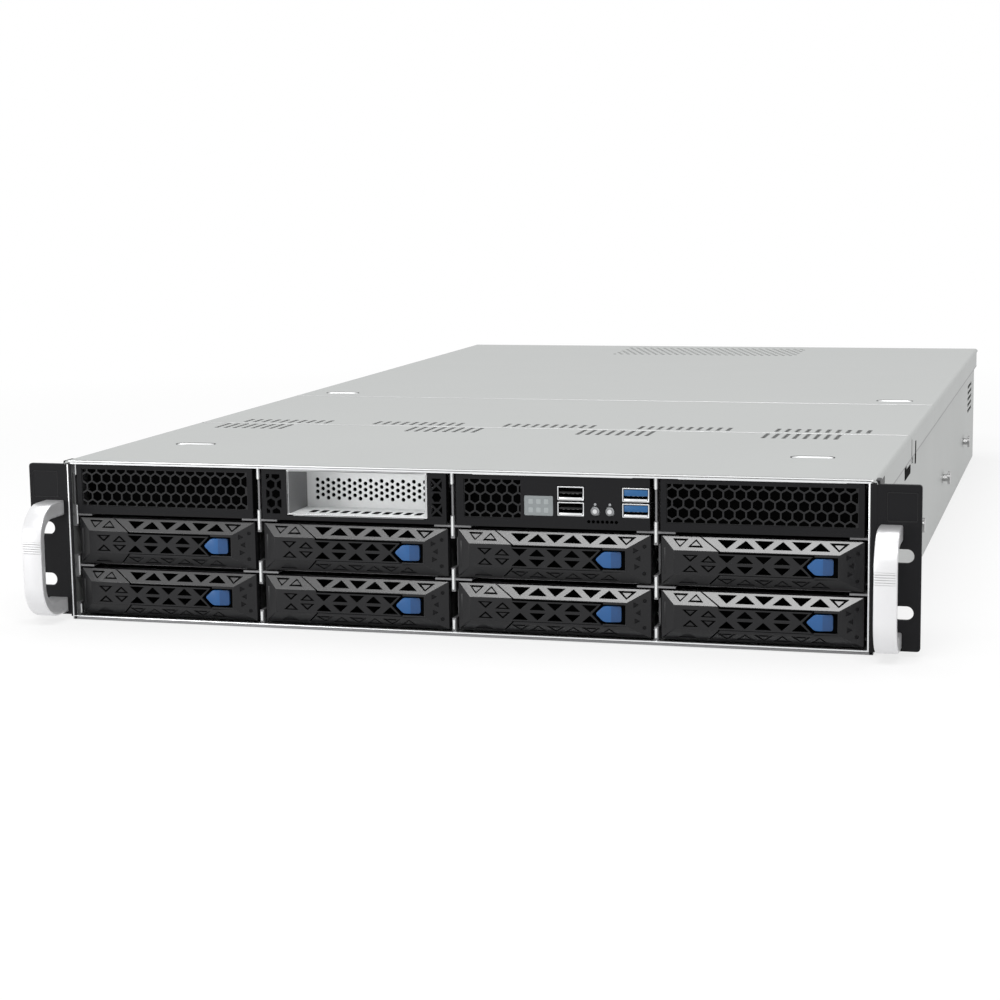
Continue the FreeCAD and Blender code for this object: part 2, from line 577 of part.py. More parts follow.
def lattice():
    """Two rows of triangular openings in the lever bar, on both sides of a middle bar."""
    middle, loops = "(lever_bar_low + lever_bar_high) / 2", []
    for edge, bar in (("lever_bar_high - cell_web", f"{middle} + cell_bar"),
                      ("lever_bar_low + cell_web", f"{middle} - cell_bar")):
        for index in range(5):
            flat, point = above(edge), above(bar)
            if index % 2:
                flat, point = point, flat
            loops.append(triangle(across(f"cell_start + {index} * cell_pitch"), flat, point, "cell_width"))
    return loops


def drive_tray():
    """Carrier: bezel frame, back plate with the hinge pin, two rails and two cross bars."""
    tray = Piece("drive_tray_1")
    bezel_blank(tray)
    back = f"{FRONT} + bezel_back"
    tray.cut("XZ", [lever_outline("groove")], f"{FACE_Y} - 1", back)
    tray.cut("XZ", [latch_outline("gap", "latch_travel")], f"{FACE_Y} - 1", f"{FACE_Y} + latch_thick + gap")
    outer = rectangle(CARRIER_X, above("0"), across("carrier_width"), above("carrier_height"))
    tray.pad("XZ", [outer], back, f"{back} + back_plate")
    tray.cut("XZ", [rectangle(across("lever_bar_start"), above("lever_bar_low"),
                              across("lever_bar_end - bar_seat"), above("lever_bar_high"))] + band_vents(),
             f"{FACE_Y} - 1", f"{back} + back_plate + 1")
    pin = (across("pin_x"), f"{FRONT} + pin_y")
    for low in ("lug_low", "carrier_height - lug_low - lug_height"):
        tray.pad("XY", [rectangle(across("pin_x - lug_half"), f"{FRONT} + pin_y - lug_reach",
                                  across("pin_x + lug_half"), f"{back} + back_plate / 2")],
                 above(low), above(f"{low} + lug_height"))
    tray.pad("XY", [circle(*pin, "pin_radius")], above("lug_low"), above("carrier_height - lug_low"))
    rail_low = above("(carrier_height - rail_height) / 2")
    rail_high = above("(carrier_height + rail_height) / 2")
    start, end = f"{back} + back_plate", f"{back} + back_plate + rail_length"
    left, right = across("rail_inset"), across("carrier_width - rail_inset")
    tray.pad("XY", [rectangle(left, start, f"{left} + rail_thick", end),
                    rectangle(f"{right} - rail_thick", start, right, end)], rail_low, rail_high)
    bars = tray.pad("XY", [rectangle(f"{left} + rail_thick", f"{start} + cross_bar_start",
                                     f"{right} - rail_thick", f"{start} + cross_bar_start + cross_bar")],
                    rail_low, f"{rail_low} + rail_thick")
    tray.repeat(bars, ("Y", "2", "rail_length - cross_bar_start - cross_bar"))
    return tray.body


def tray_lever():
    """Release lever: skin cut from the bezel frustum, lattice bar and hinge knuckle."""
    lever = Piece("tray_lever_1")
    bezel_blank(lever)
    outside = rectangle(across("-2"), above("-2"), across("carrier_width + 2"), above("carrier_height + 2"))
    span = (f"{FACE_Y} - 1", f"{FRONT} + bezel_back + 1")
    lever.cut("XZ", [outside, lever_outline("0")], *span)
    lever.cut("XZ", [rectangle(across("-1"), above("-1"),
                               across("carrier_width"), above("carrier_height + 1"))],
              f"{FRONT} + lever_skin", f"{FRONT} + bezel_back + 1")
    lever.cut("XZ", lattice(), *span)
    knuckle = (across("pin_x"), f"{FRONT} + pin_y")
    lever.pad("XY", [regular(8, *knuckle, "knuckle_radius")], above("lug_low + lug_height + gap"),
              above("carrier_height - lug_low - lug_height - gap"))
    lever.cut("XY", [circle(*knuckle, "pin_radius + pin_gap")], above("-1"), above("carrier_height + 1"))
    return lever.body


def tray_latch():
    """Blue release slide in its recess beside the lever's end."""
    latch = Piece("tray_latch_1")
    latch.pad("XZ", [latch_outline("0", "0")], f"{FACE_Y} + gap", f"{FACE_Y} + latch_thick")
    return latch.body


def carriers():
    """Eight carriers, numbered from the lower left, with their levers and latches."""
    first = {"drive_tray": drive_tray(), "tray_lever": tray_lever(), "tray_latch": tray_latch()}
    for index in range(1, 8):
        for name, source in first.items():
            again(source, f"{name}_{index + 1}", f"{index % 4} * bay_pitch", "0", f"{index // 4} * row_pitch")


# ---------------------------------------------------------------- top row of front panels

PANEL_Y = f"{FRONT} + panel_inset"


def panel_blank(label, column):
    """Flat front panel over one column of bays; column counts from the left, 0 to 3."""
    panel = Piece(label)
    middle = f"({column} - 1.5) * bay_pitch"
    left, right = f"{middle} - carrier_width / 2", f"{middle} + carrier_width / 2"
    return panel, left, right


def regular(corners, middle, height, radius):
    """A regular polygon with a corner at its top; radius reaches to its corners."""
    spots = []
    for index in range(corners):
        turn = index * math.tau / corners
        sine, cosine = round(math.sin(turn), 6), round(math.cos(turn), 6)
        spots.append((f"{middle} + ({radius}) * {sine}", f"{height} + ({radius}) * {cosine}"))
    return polygon(*spots)


def hexagon(middle, height, wide):
    """A hexagon; wide is measured across its flats."""
    return regular(6, middle, height, f"({wide}) / 2 / cos(30)")


def hex_field(panel, left, low, right, high):
    """A honeycomb of three rows in a field of the panel."""
    panel.pad("XZ", [rectangle(left, low, right, high)], PANEL_Y, f"{PANEL_Y} + panel_steel")
    middle, row = f"({low} + {high}) / 2", "hex_pitch * cos(30)"
    across_count = ("X", f"floor(({right} - ({left})) / hex_pitch) + 1", "hex_pitch")
    for start, height, rows in ((left, f"{middle} - {row}", [("Z", "2", f"2 * {row}")]),
                                (f"{left} + hex_pitch / 2", middle, [])):
        first = panel.cut("XZ", [hexagon(start, height, "hex_across")], PANEL_Y, f"{PANEL_Y} + panel_steel")
        panel.repeat(first, across_count, *rows)


def grilles():
    panel, left, right = panel_blank("right_grille", 3)
    inside = (f"{left} + field_margin_x", "field_low", f"{right} - field_margin_x", "field_high")
    hex_field(panel, *inside)
    panel.pad("XZ", [rectangle(left, PANEL_LOW, right, "panel_high"), rectangle(*inside)],
              PANEL_Y, f"{PANEL_Y} + panel_steel")
    panel.pad("XY", [rectangle(left, PANEL_Y, right, f"{PANEL_Y} + panel_shelf")],
              PANEL_LOW, f"{PANEL_LOW} + panel_steel")
    mirrored(panel.body, "left_grille")


def slot_bay():
    """Galvanised tray bay with rows of air holes in its back wall, in a black bezel."""
    bezel, left, right = panel_blank("slot_bezel", 1)
    mouth = ("-slot_left - gap", "slot_low - gap", "-slot_right + gap", "slot_high + gap")
    bezel.pad("XZ", [rectangle(left, PANEL_LOW, right, "panel_high"), rectangle(*mouth)],
              PANEL_Y, f"{PANEL_Y} + panel_steel")
    through = (f"{PANEL_Y} - 1", f"{PANEL_Y} + panel_steel + 1")
    side, middle = f"(-slot_right + {right}) / 2", f"({PANEL_LOW} + panel_high) / 2"
    crosses = []
    for word in ("-", ""):
        reach = f"{word}(cross_vent + 2 * cross_gap)"
        tip = f"{middle} + {reach} / 2 + {word}cross_gap / 2"
        crosses += [triangle(side, f"{middle} + {reach}", tip, "cross_vent"),
                    triangle(side, f"{middle} + {word}cross_gap", f"{middle} + {reach} / 2", "cross_vent")]
    bezel.cut("XZ", crosses, *through)
    strip = (f"{left} + bezel_vent_margin", "-slot_left - bezel_vent_margin")
    low, high = f"{PANEL_LOW} + bezel_vent_margin", "panel_high - bezel_vent_margin"
    bezel.cut("XZ", [rectangle(strip[0], low, strip[1], high)], *through)
    bar = f"({strip[0]} + {strip[1]}) / 2"
    bezel.pad("XZ", [rectangle(f"{bar} - bezel_bar / 2", low, f"{bar} + bezel_bar / 2", high)],
              PANEL_Y, f"{PANEL_Y} + panel_steel")
    tray = Piece("slot_tray")
    tray.pad("XZ", [rectangle("-slot_left", "slot_low", "-slot_right", "slot_high")],
             f"{PANEL_Y} - slot_stand", f"{PANEL_Y} + slot_depth")
    tray.cut("XZ", [rectangle("-slot_left + slot_wall", "slot_low + slot_wall", "-slot_right - slot_wall",
                              "slot_high - slot_wall")],
             f"{PANEL_Y} - 1", f"{PANEL_Y} + slot_depth - slot_wall")
    first = square("-slot_left + slot_hole_margin", "slot_low + slot_hole_margin", "slot_hole / 2")
    holes = tray.cut("XZ", [first], f"{PANEL_Y} + slot_depth - 2 * slot_wall", f"{PANEL_Y} + slot_depth + 1")
    count = "floor((slot_left - slot_right - 2 * slot_hole_margin) / slot_hole_pitch) + 1"
    tray.repeat(holes, ("X", count, "slot_hole_pitch"), ("Z", "2", "slot_hole_pitch"))


def operator_panel():
    """Panel with honeycomb, light window, four USB openings and two button holes."""
    panel, left, right = panel_blank("io_panel", 2)
    field = ("io_field_left", "field_low", "io_field_right", "field_high")
    hex_field(panel, *field)
    panel.pad("XZ", [rectangle(left, PANEL_LOW, right, "panel_high"), rectangle(*field)],
              PANEL_Y, f"{PANEL_Y} + panel_steel")
    panel.pad("XY", [rectangle(left, PANEL_Y, right, f"{PANEL_Y} + panel_shelf")],
              PANEL_LOW, f"{PANEL_LOW} + panel_steel")
    through = (f"{PANEL_Y} - 1", f"{PANEL_Y} + panel_steel + 1")
    holes = [rectangle("window_left", "window_low", "window_right", "window_high")]
    holes += [circle(spot, "button_z", "button_radius + button_gap") for spot in ("power_x", "reset_x")]
    for middle in ("usb2_middle_x", "usb3_middle_x"):
        for height in ("usb_low_z", "usb_high_z"):
            holes.append(usb_frame(middle, height, "gap"))
    panel.cut("XZ", holes, *through)
    window = Piece("status_window")
    for room, start in (("-window_gap", PANEL_Y), ("window_flange", f"{PANEL_Y} + panel_steel")):
        window.pad("XZ", [rectangle(f"window_left - ({room})", f"window_low - ({room})",
                                    f"window_right + {room}", f"window_high + {room}")],
                   start, f"{PANEL_Y} + window_thick")


def usb_frame(middle, height, room):
    return rectangle(f"{middle} - usb_width / 2 - {room}", f"{height} - usb_height / 2 - {room}",
                     f"{middle} + usb_width / 2 + {room}", f"{height} + usb_height / 2 + {room}")


def usb_sockets():
    """Four socket shells and the contact tongues inside them."""
    shells = Piece("usb_shells")
    back = f"{PANEL_Y} + usb_depth"
    for middle, label in (("usb2_middle_x", "usb2_tongues"), ("usb3_middle_x", "usb3_tongues")):
        tongues = Piece(label)
        for height in ("usb_low_z", "usb_high_z"):
            shells.pad("XZ", [usb_frame(middle, height, "0")], f"{PANEL_Y} - usb_stand", back)
            shells.cut("XZ", [usb_frame(middle, height, "-usb_shell")],
                       f"{PANEL_Y} - 1", f"{back} - usb_back")
            reach, low = "(usb_width / 2 - tongue_inset)", f"{height} + tongue_lift"
            tongues.pad("XZ", [rectangle(f"{middle} - {reach}", low,
                                         f"{middle} + {reach}", f"{low} + usb_tongue")],
                        f"{PANEL_Y} + tongue_inset", f"{back} - usb_back")


def buttons():
    """Two round push buttons, each with a square collar and stem behind the panel."""
    for label, spot in (("power_button", "power_x"), ("reset_button", "reset_x")):
        button = Piece(label)
        collar = f"{PANEL_Y} + panel_steel + gap"
        button.pad("XZ", [circle(spot, "button_z", "button_radius")], f"{PANEL_Y} - button_stand", collar)
        button.pad("XZ", [square(spot, "button_z", "button_flange")], collar, f"{collar} + button_collar")
        button.pad("XZ", [square(spot, "button_z", "button_stem / 2")], f"{collar} + button_collar",
                   f"{PANEL_Y} + button_length")


# ---------------------------------------------------------------- inside

def drive_backplane():
    """Circuit board behind the bays with a socket block for each drive and air slots."""
    board = Piece("drive_backplane")
    start, edge = f"{FRONT} + backplane_y", "(2 * bay_pitch - sheet_steel)"
    board.pad("XZ", [rectangle(f"-{edge}", "sheet_steel", edge, "backplane_high")],
              start, f"{start} + board_thick")
    slots = board.cut("XZ", [rectangle("-2 * bay_pitch + air_slot_inset", "air_slot_low",
                                       "-bay_pitch - air_slot_inset", "air_slot_high")],
                      f"{start} - 1", f"{start} + board_thick + 1")
    board.repeat(slots, ("X", "4", "bay_pitch"), ("Z", "2", "row_pitch"))
    middle, low = "-1.5 * bay_pitch", "bay_floor + drive_socket_low"
    sockets = board.pad("XZ", [rectangle(f"{middle} - drive_socket_width / 2", low,
                                         f"{middle} + drive_socket_width / 2",
                                         f"{low} + drive_socket_height")],
                        f"{start} - drive_socket_depth", start)
    board.repeat(sockets, ("X", "4", "bay_pitch"), ("Z", "2", "row_pitch"))


FAN_BLADES = 7


def fans():
    """Wall of four framed fans with spokes that carry the hub seats, and a bladed rotor in each."""
    wall = Piece("fan_wall")
    front, back = f"{FRONT} + fan_y", f"{FRONT} + fan_y + fan_depth"
    low, middle = "fan_low", "fan_low + fan_square / 2"
    first, half = "-1.5 * fan_pitch", "fan_square / 2"
    wall.pad("XZ", [rectangle(f"{first} - {half}", low, f"-({first}) + {half}", f"{low} + fan_square")],
             front, back)
    gaps = wall.cut("XZ", [rectangle(f"{first} + {half}", f"{low} + fan_sill",
                                     f"{first} + fan_pitch - {half}", f"{low} + fan_square + 1")],
                    f"{front} - 1", f"{back} + 1")
    wall.repeat(gaps, ("X", "3", "fan_pitch"))
    bores = wall.cut("XZ", [regular(24, first, middle, "fan_bore")], f"{front} - 1", f"{back} + 1")
    wall.repeat(bores, ("X", "4", "fan_pitch"))
    seats = wall.pad("XZ", [hexagon(first, middle, "2 * fan_seat")], f"{back} - fan_spoke", back)
    wall.repeat(seats, ("X", "4", "fan_pitch"))
    inner, outer, thin = "(fan_seat - 1)", "(fan_bore + 0.5)", "fan_spoke / 2"
    arms = []
    for start, end in ((f"-{outer}", f"-{inner}"), (inner, outer)):
        arms.append(rectangle(f"{first} + {start}", f"{middle} - {thin}",
                              f"{first} + {end}", f"{middle} + {thin}"))
        arms.append(rectangle(f"{first} - {thin}", f"{middle} + {start}",
                              f"{first} + {thin}", f"{middle} + {end}"))
    spokes = wall.pad("XZ", arms, f"{back} - fan_spoke", back)
    wall.repeat(spokes, ("X", "4", "fan_pitch"))
    rotor = Piece("rotor_pattern", kept=False)
    hub = f"{back} - fan_spoke - gap"
    rotor.pad("XZ", [regular(3 * FAN_BLADES, "0", "0", "fan_hub")], f"{hub} - hub_depth", hub)
    blade = rotor.pad("XY", [blade_section("hub_depth / 2")], "fan_hub - blade_root", "fan_tip - blade_gap")
    rotor.around(blade, "Y", FAN_BLADES)
    for index in range(4):
        again(rotor.body, f"fan_rotor_{index + 1}", f"({index} - 1.5) * fan_pitch", "0", middle)


def blade_section(reach):
    """A thin slab across the blade, turned to its pitch about the middle of the hub."""
    centre = f"{FRONT} + fan_y + fan_depth - fan_spoke - gap - hub_depth / 2"
    spots = []
    for along, side in ((-1, -1), (1, -1), (1, 1), (-1, 1)):
        spots.append((f"{along} * sin(blade_pitch) * ({reach}) + {side} * cos(blade_pitch) * blade_thick / 2",
                      f"{centre} + {along} * cos(blade_pitch) * ({reach})"
                      f" - {side} * sin(blade_pitch) * blade_thick / 2"))
    return polygon(*spots)


BOARD_LOW = "sheet_steel + standoff"
BOARD_TOP = "sheet_steel + standoff + board_thick"
PORT_HEIGHTS = ("12", "13", "13", "16")                # rear connectors, from the left


def main_board():
    """Main board with processor sockets, memory sockets and its rear connectors."""
    board = Piece("motherboard")
    half = "board_width / 2"
    board.pad("XY", [rectangle(f"-{half}", "board_y", half, "board_y + board_depth")], BOARD_LOW, BOARD_TOP)
    board.pad("XY", [rectangle("io_left", "board_y + board_depth", "io_right", f"{REAR} - port_depth")],
              BOARD_LOW, BOARD_TOP)
    for side in ("-", ""):
        board.pad("XY", [square(f"{side}heatsink_x", "heatsink_y", "socket_reach")],
                  BOARD_TOP, f"{BOARD_TOP} + socket_height")
    for bank in (-1, 0, 1):
        rows = board.pad("XY", [memory_place(bank, "memory_socket")], BOARD_TOP,
                         f"{BOARD_TOP} + memory_socket_height")
        board.repeat(rows, ("X", "4", "memory_pitch"))
    for place, height in enumerate(PORT_HEIGHTS):
        left = f"io_left + port_gap + {place} * port_pitch"
        board.pad("XY", [rectangle(left, f"{REAR} - port_depth - port_gap", f"{left} + port_width",
                                   f"{REAR} + port_stand")], BOARD_TOP, f"{BOARD_TOP} + {height}")


def memory_place(bank, width):
    """Plan of the first memory module or socket of a bank: left, middle or right of the heatsinks."""
    middle = f"{bank} * memory_bank - 1.5 * memory_pitch"
    return rectangle(f"{middle} - {width} / 2", "memory_y",
                     f"{middle} + {width} / 2", "memory_y + memory_length")


def on_the_board():
    """Two finned heatsinks and three banks of memory modules."""
    sinks = Piece("cpu_heatsinks")
    low = f"{BOARD_TOP} + socket_height"
    half = "heatsink_side / 2"
    for side in ("-", ""):
        sinks.pad("XY", [square(f"{side}heatsink_x", "heatsink_y", half)], low, f"{low} + heatsink_base")
        left = f"{side}heatsink_x - {half}"
        fins = sinks.pad("XY", [rectangle(left, f"heatsink_y - {half}",
                                          f"{left} + fin_thick", f"heatsink_y + {half}")],
                         f"{low} + heatsink_base", f"{low} + heatsink_height")
        sinks.repeat(fins, ("X", "floor((heatsink_side - fin_thick) / fin_pitch) + 1", "fin_pitch"))
    modules = Piece("memory_modules")
    seat = f"{BOARD_TOP} + memory_socket_height"
    for bank in (-1, 0, 1):
        one = modules.pad("XY", [memory_place(bank, "memory_thick")], seat, f"{seat} + memory_height")
        modules.repeat(one, ("X", "4", "memory_pitch"))


# ---------------------------------------------------------------- rear

SUPPLY_X = "-supply_left"
SUPPLY_RIGHT = "-supply_left + supply_width"
SUPPLY_LOW = "sheet_steel + gap"


def power_supplies():
    """Two stacked plug-in supplies with handle, inlet, fan grille and thumb latch, in their cage."""
    supply = Piece("power_supply_1")
    rear, low = f"{REAR} + supply_stand", SUPPLY_LOW
    supply.pad("XZ", [rectangle(SUPPLY_X, low, SUPPLY_RIGHT, f"{low} + supply_height")],
               f"{rear} - supply_length", rear)
    inlet_x, inlet_z = f"{SUPPLY_X} + inlet_x", f"{low} + inlet_z"
    supply.cut("XZ", [rectangle(f"{inlet_x} - inlet_width / 2", f"{inlet_z} - inlet_height / 2",
                                f"{inlet_x} + inlet_width / 2", f"{inlet_z} + inlet_height / 2")],
               f"{rear} - inlet_depth", f"{rear} + 1")
    pin_x = f"{inlet_x} - inlet_pin_pitch"
    pins = supply.pad("XZ", [rectangle(f"{pin_x} - inlet_pin / 2", f"{inlet_z} - inlet_pin",
                                       f"{pin_x} + inlet_pin / 2", f"{inlet_z} + inlet_pin")],
                      f"{rear} - inlet_depth", f"{rear} - inlet_depth / 4")
    supply.repeat(pins, ("X", "3", "inlet_pin_pitch"))
    start = f"{SUPPLY_X} + exhaust_x"
    vents = supply.cut("XZ", [rectangle(start, f"{low} + exhaust_margin", f"{start} + exhaust_width",
                                        f"{low} + supply_height - exhaust_margin")],
                       f"{rear} - exhaust_depth", f"{rear} + 1")
    supply.repeat(vents, ("X", "6", "exhaust_pitch"))
    grip, middle = f"{SUPPLY_X} + grip_x", f"{low} + supply_height / 2"
    tip, inner = f"{rear} + grip_reach", "grip_thick"
    end = f"{grip} + grip_length"
    bow = polygon((grip, rear), (grip, tip), (end, tip), (end, rear),
                  (f"{end} - {inner}", rear), (f"{end} - {inner}", f"{tip} - {inner}"),
                  (f"{grip} + {inner}", f"{tip} - {inner}"), (f"{grip} + {inner}", rear))
    supply.pad("XY", [bow], f"{middle} - grip_width / 2", f"{middle} + grip_width / 2")
    latch = Piece("supply_latch_1")
    edge = f"{SUPPLY_RIGHT} - supply_latch_inset"
    latch.pad("XZ", [rectangle(f"{edge} - supply_latch_width", f"{low} + supply_latch_low", edge,
                               f"{low} + supply_latch_low + supply_latch_height")],
              f"{rear} + gap", f"{rear} + supply_latch_reach")
    lift = "supply_height + supply_shelf + 2 * gap"
    again(supply.body, "power_supply_2", "0", "0", lift)
    again(latch.body, "supply_latch_2", "0", "0", lift)
    cage = Piece("supply_cage")
    shelf = f"{SUPPLY_LOW} + supply_height + gap"
    start, end = f"{REAR} - supply_length - supply_cage_reach", f"{REAR} - sheet_steel"
    wall = f"{SUPPLY_RIGHT} + gap"
    cage.pad("XY", [rectangle(SUPPLY_X, start, f"{wall} + supply_shelf", end)],
             shelf, f"{shelf} + supply_shelf")
    cage.pad("XY", [rectangle(wall, start, f"{wall} + supply_shelf", end)],
             "sheet_steel", f"{WALL_TOP} - rear_frame")


def expansion_cage():
    """Rear cage for expansion cards: side walls, a floor and a rear plate with slot covers."""
    cage = Piece("expansion_cage")
    left, right = "-expansion_left", "expansion_right"
    start, end = f"{REAR} - sheet_steel - expansion_depth", f"{REAR} - sheet_steel"
    low, high = "expansion_low", f"{WALL_TOP} - 1"
    cage.pad("XZ", [polygon((left, low), (right, low), (right, high), (f"{right} - cage_steel", high),
                            (f"{right} - cage_steel", f"{low} + cage_steel"),
                            (f"{left} + cage_steel", f"{low} + cage_steel"), (f"{left} + cage_steel", high),
                            (left, high))], start, end)
    cage.pad("XZ", [rectangle(f"{right} - cage_steel", "sheet_steel", right, low),
                    rectangle(left, "sheet_steel", f"{left} + cage_steel", low)],
             start, f"{start} + cage_leg")
    cage.pad("XZ", [rectangle(left, low, right, high)], f"{end} - cage_steel", end)
    for room, face in (("0", f"{end} - 2 * cage_steel"), ("card_cover_gap", None)):
        slots = rectangle(f"{left} + card_inset", f"{low} + card_low + {room}",
                          f"{left} + card_inset + card_cover_length",
                          f"{low} + card_low + card_cover_height - {room}")
        if face:
            made = cage.cut("XZ", [slots], face, f"{end} + 1")
        else:
            made = cage.pad("XZ", [slots], f"{end} - cage_steel", end)
        cage.repeat(made, ("X", "3", "card_pitch_x"), ("Z", "2", "slot_cover_pitch"))


chassis_base()
covers()
rail_studs()
ears()
handles()
drive_cage()
carriers()
grilles()
slot_bay()
operator_panel()
usb_sockets()
buttons()
drive_backplane()
fans()
main_board()
on_the_board()
power_supplies()
expansion_cage()
doc.recompute()

faults = [item.Label for item in doc.Objects if {"Invalid", "Error"} & set(item.State)]
faults += [item.Label for item in parts if item.Shape.isNull() or not item.Shape.isValid()]
if faults:
    raise SystemExit("failed: " + ", ".join(faults))
os.makedirs("parts", exist_ok=True)
for item in parts:
    item.Shape.exportStep(f"parts/{item.Label}.step")
print(len(parts), "sub-parts written")
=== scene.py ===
"""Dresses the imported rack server: detailed pieces over the fixed frame, finishes, light and camera."""
import math
import bmesh
import bpy
from mathutils import Matrix, Vector


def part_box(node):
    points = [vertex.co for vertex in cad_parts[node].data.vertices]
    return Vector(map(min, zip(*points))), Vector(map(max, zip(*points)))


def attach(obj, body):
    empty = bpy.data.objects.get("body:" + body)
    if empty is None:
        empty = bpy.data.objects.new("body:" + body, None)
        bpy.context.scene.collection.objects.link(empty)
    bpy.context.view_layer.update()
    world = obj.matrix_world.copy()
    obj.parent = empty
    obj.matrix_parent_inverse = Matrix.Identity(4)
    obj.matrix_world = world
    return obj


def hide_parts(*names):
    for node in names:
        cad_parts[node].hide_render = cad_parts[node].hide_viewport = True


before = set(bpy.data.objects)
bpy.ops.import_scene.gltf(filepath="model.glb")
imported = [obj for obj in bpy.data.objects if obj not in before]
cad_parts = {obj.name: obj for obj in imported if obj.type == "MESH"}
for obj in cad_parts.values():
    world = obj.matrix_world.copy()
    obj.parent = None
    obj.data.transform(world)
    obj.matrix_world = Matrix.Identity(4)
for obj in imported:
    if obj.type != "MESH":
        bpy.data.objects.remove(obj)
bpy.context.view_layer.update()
MM = 0.001

# ------------------------ finishes

GLOSS_SPREAD = 0.06                  # either side of a finish's roughness
RELIEF_HEIGHT = 0.0002               # metres


def node(tree, kind, inputs, operation=None):
    """A new shader node. A socket in inputs is linked, and any other value becomes the input's own."""
    made = tree.nodes.new("ShaderNode" + kind)
    if operation:
        made.operation = operation
    feed(tree, made, inputs)
    return made


def feed(tree, made, inputs):
    for name, value in inputs.items():
        if isinstance(value, bpy.types.NodeSocket):
            tree.links.new(value, made.inputs[name])
        else:
            made.inputs[name].default_value = value


def finish(name, colour, roughness, metallic=0.0, grain=900.0, bump=0.04, spread=0.04, specular=0.5,
           blotch=12.0):
    """A node material: colour with a slow and a fine variation, gloss with the slow one, and a fine bump."""
    made = bpy.data.materials.new(name)
    made.use_nodes = True
    tree = made.node_tree
    place = node(tree, "TexCoord", {}).outputs["Object"]
    slow, fine = (node(tree, "TexNoise", {"Vector": place, "Scale": size, "Detail": detail}).outputs["Fac"]
                  for size, detail in ((blotch, 3.0), (grain, 2.0)))
    half = node(tree, "Math", {0: slow, 1: 0.5}, "MULTIPLY").outputs[0]
    both = node(tree, "Math", {0: fine, 1: 0.5, 2: half}, "MULTIPLY_ADD").outputs[0]
    ramp = node(tree, "ValToRGB", {"Fac": both})
    for element, position, factor in zip(ramp.color_ramp.elements, (0.3, 0.7), (1.0 - spread, 1.0 + spread)):
        element.position = position
        element.color = [min(1.0, part * factor) for part in colour] + [1.0]
    gloss = node(tree, "MapRange", {"Value": slow, "To Min": max(0.02, roughness - GLOSS_SPREAD),
                                    "To Max": min(1.0, roughness + GLOSS_SPREAD)})
    relief = node(tree, "Bump", {"Strength": bump, "Distance": RELIEF_HEIGHT, "Height": fine})
    feed(tree, tree.nodes["Principled BSDF"], {
        "Metallic": metallic, "Specular IOR Level": specular, "Base Color": ramp.outputs["Color"],
        "Roughness": gloss.outputs["Result"], "Normal": relief.outputs["Normal"]})
    return made


STEEL = finish("zinc_steel", (0.395, 0.407, 0.401), 0.42, 0.7, grain=1500, bump=0.05, spread=0.03)
# pale steel as painted highlight on the upper edges of the panels, the front edges of the covers, the posts
# between the carriers and the walls of the finger dimples
HIGHLIGHT_STEEL = finish("painted_highlight_steel", (0.74, 0.75, 0.75), 0.35, 0.7, grain=1200, bump=0.03, spread=0.03)
# brighter steel as painted highlight on the folded front hems, the rim of the slim tray, the lower edges of
# the socket frames and the nose of the front cover
BRIGHT_HIGHLIGHT = finish("painted_highlight_bright", (0.78, 0.79, 0.80), 0.28, 0.9, grain=1200, bump=0.03, spread=0.03)
# darkened steel: painted shade on the drive cage and on the left wall of the slim tray, and painted shadow
# strips under the cover flanges and the front floor edge; also the dark ring of the buttons and the dark
# cover seams
DARK_STEEL_AND_SHADE = finish("dark_steel_and_painted_shade", (0.20, 0.20, 0.205), 0.45, 0.6, grain=900, bump=0.04, spread=0.06)
INNER_STEEL = finish("inner_steel", (0.40, 0.41, 0.41), 0.4, 0.8, grain=400, bump=0.05, spread=0.10,
                     blotch=90)
WHITE_TRAY = finish("pale_zinc", (0.92, 0.93, 0.93), 0.5, 0.15, grain=700, bump=0.05, spread=0.03)
# black paint of the ears, their flanges and brackets; also painted shade as the dark strips beside the front
# hems
BLACK_PAINT_AND_SHADE = finish("black_ear", (0.009, 0.009, 0.010), 0.45, grain=2500, bump=0.08, specular=0.12)
PANEL = finish("black_panel", (0.008, 0.008, 0.009), 0.4, grain=2500, bump=0.06, specular=0.14)
WEB = finish("grille_paint", (0.012, 0.012, 0.013), 0.35, grain=2500, bump=0.05, specular=0.26)
MOULDED = finish("moulded_black", (0.009, 0.009, 0.010), 0.32, grain=3000, bump=0.10, specular=0.29)
BAND = finish("smooth_black", (0.013, 0.013, 0.014), 0.27, grain=2500, bump=0.03, specular=1.0)
# painted shade: near-black set behind openings and in pockets, recesses, hole walls and slots, where only
# shade falls
PAINTED_SHADE = finish("painted_shade_black", (0.003, 0.003, 0.003), 0.8, grain=800, bump=0.02, specular=0.02)
# darker blue as painted shade on the sloping end of the latches
BLUE_PAINTED_SHADE = finish("blue_painted_shade", (0.008, 0.055, 0.17), 0.35, grain=2000, bump=0.05)
BLUE = finish("blue_plastic", (0.010, 0.085, 0.255), 0.35, grain=2000, bump=0.05)
BRIGHT_BLUE = finish("bright_blue_plastic", (0.005, 0.085, 0.235), 0.4, grain=1500, bump=0.03)
SILVER = finish("satin_silver", (0.76, 0.76, 0.77), 0.32, 0.55, grain=1800, bump=0.05, spread=0.02)
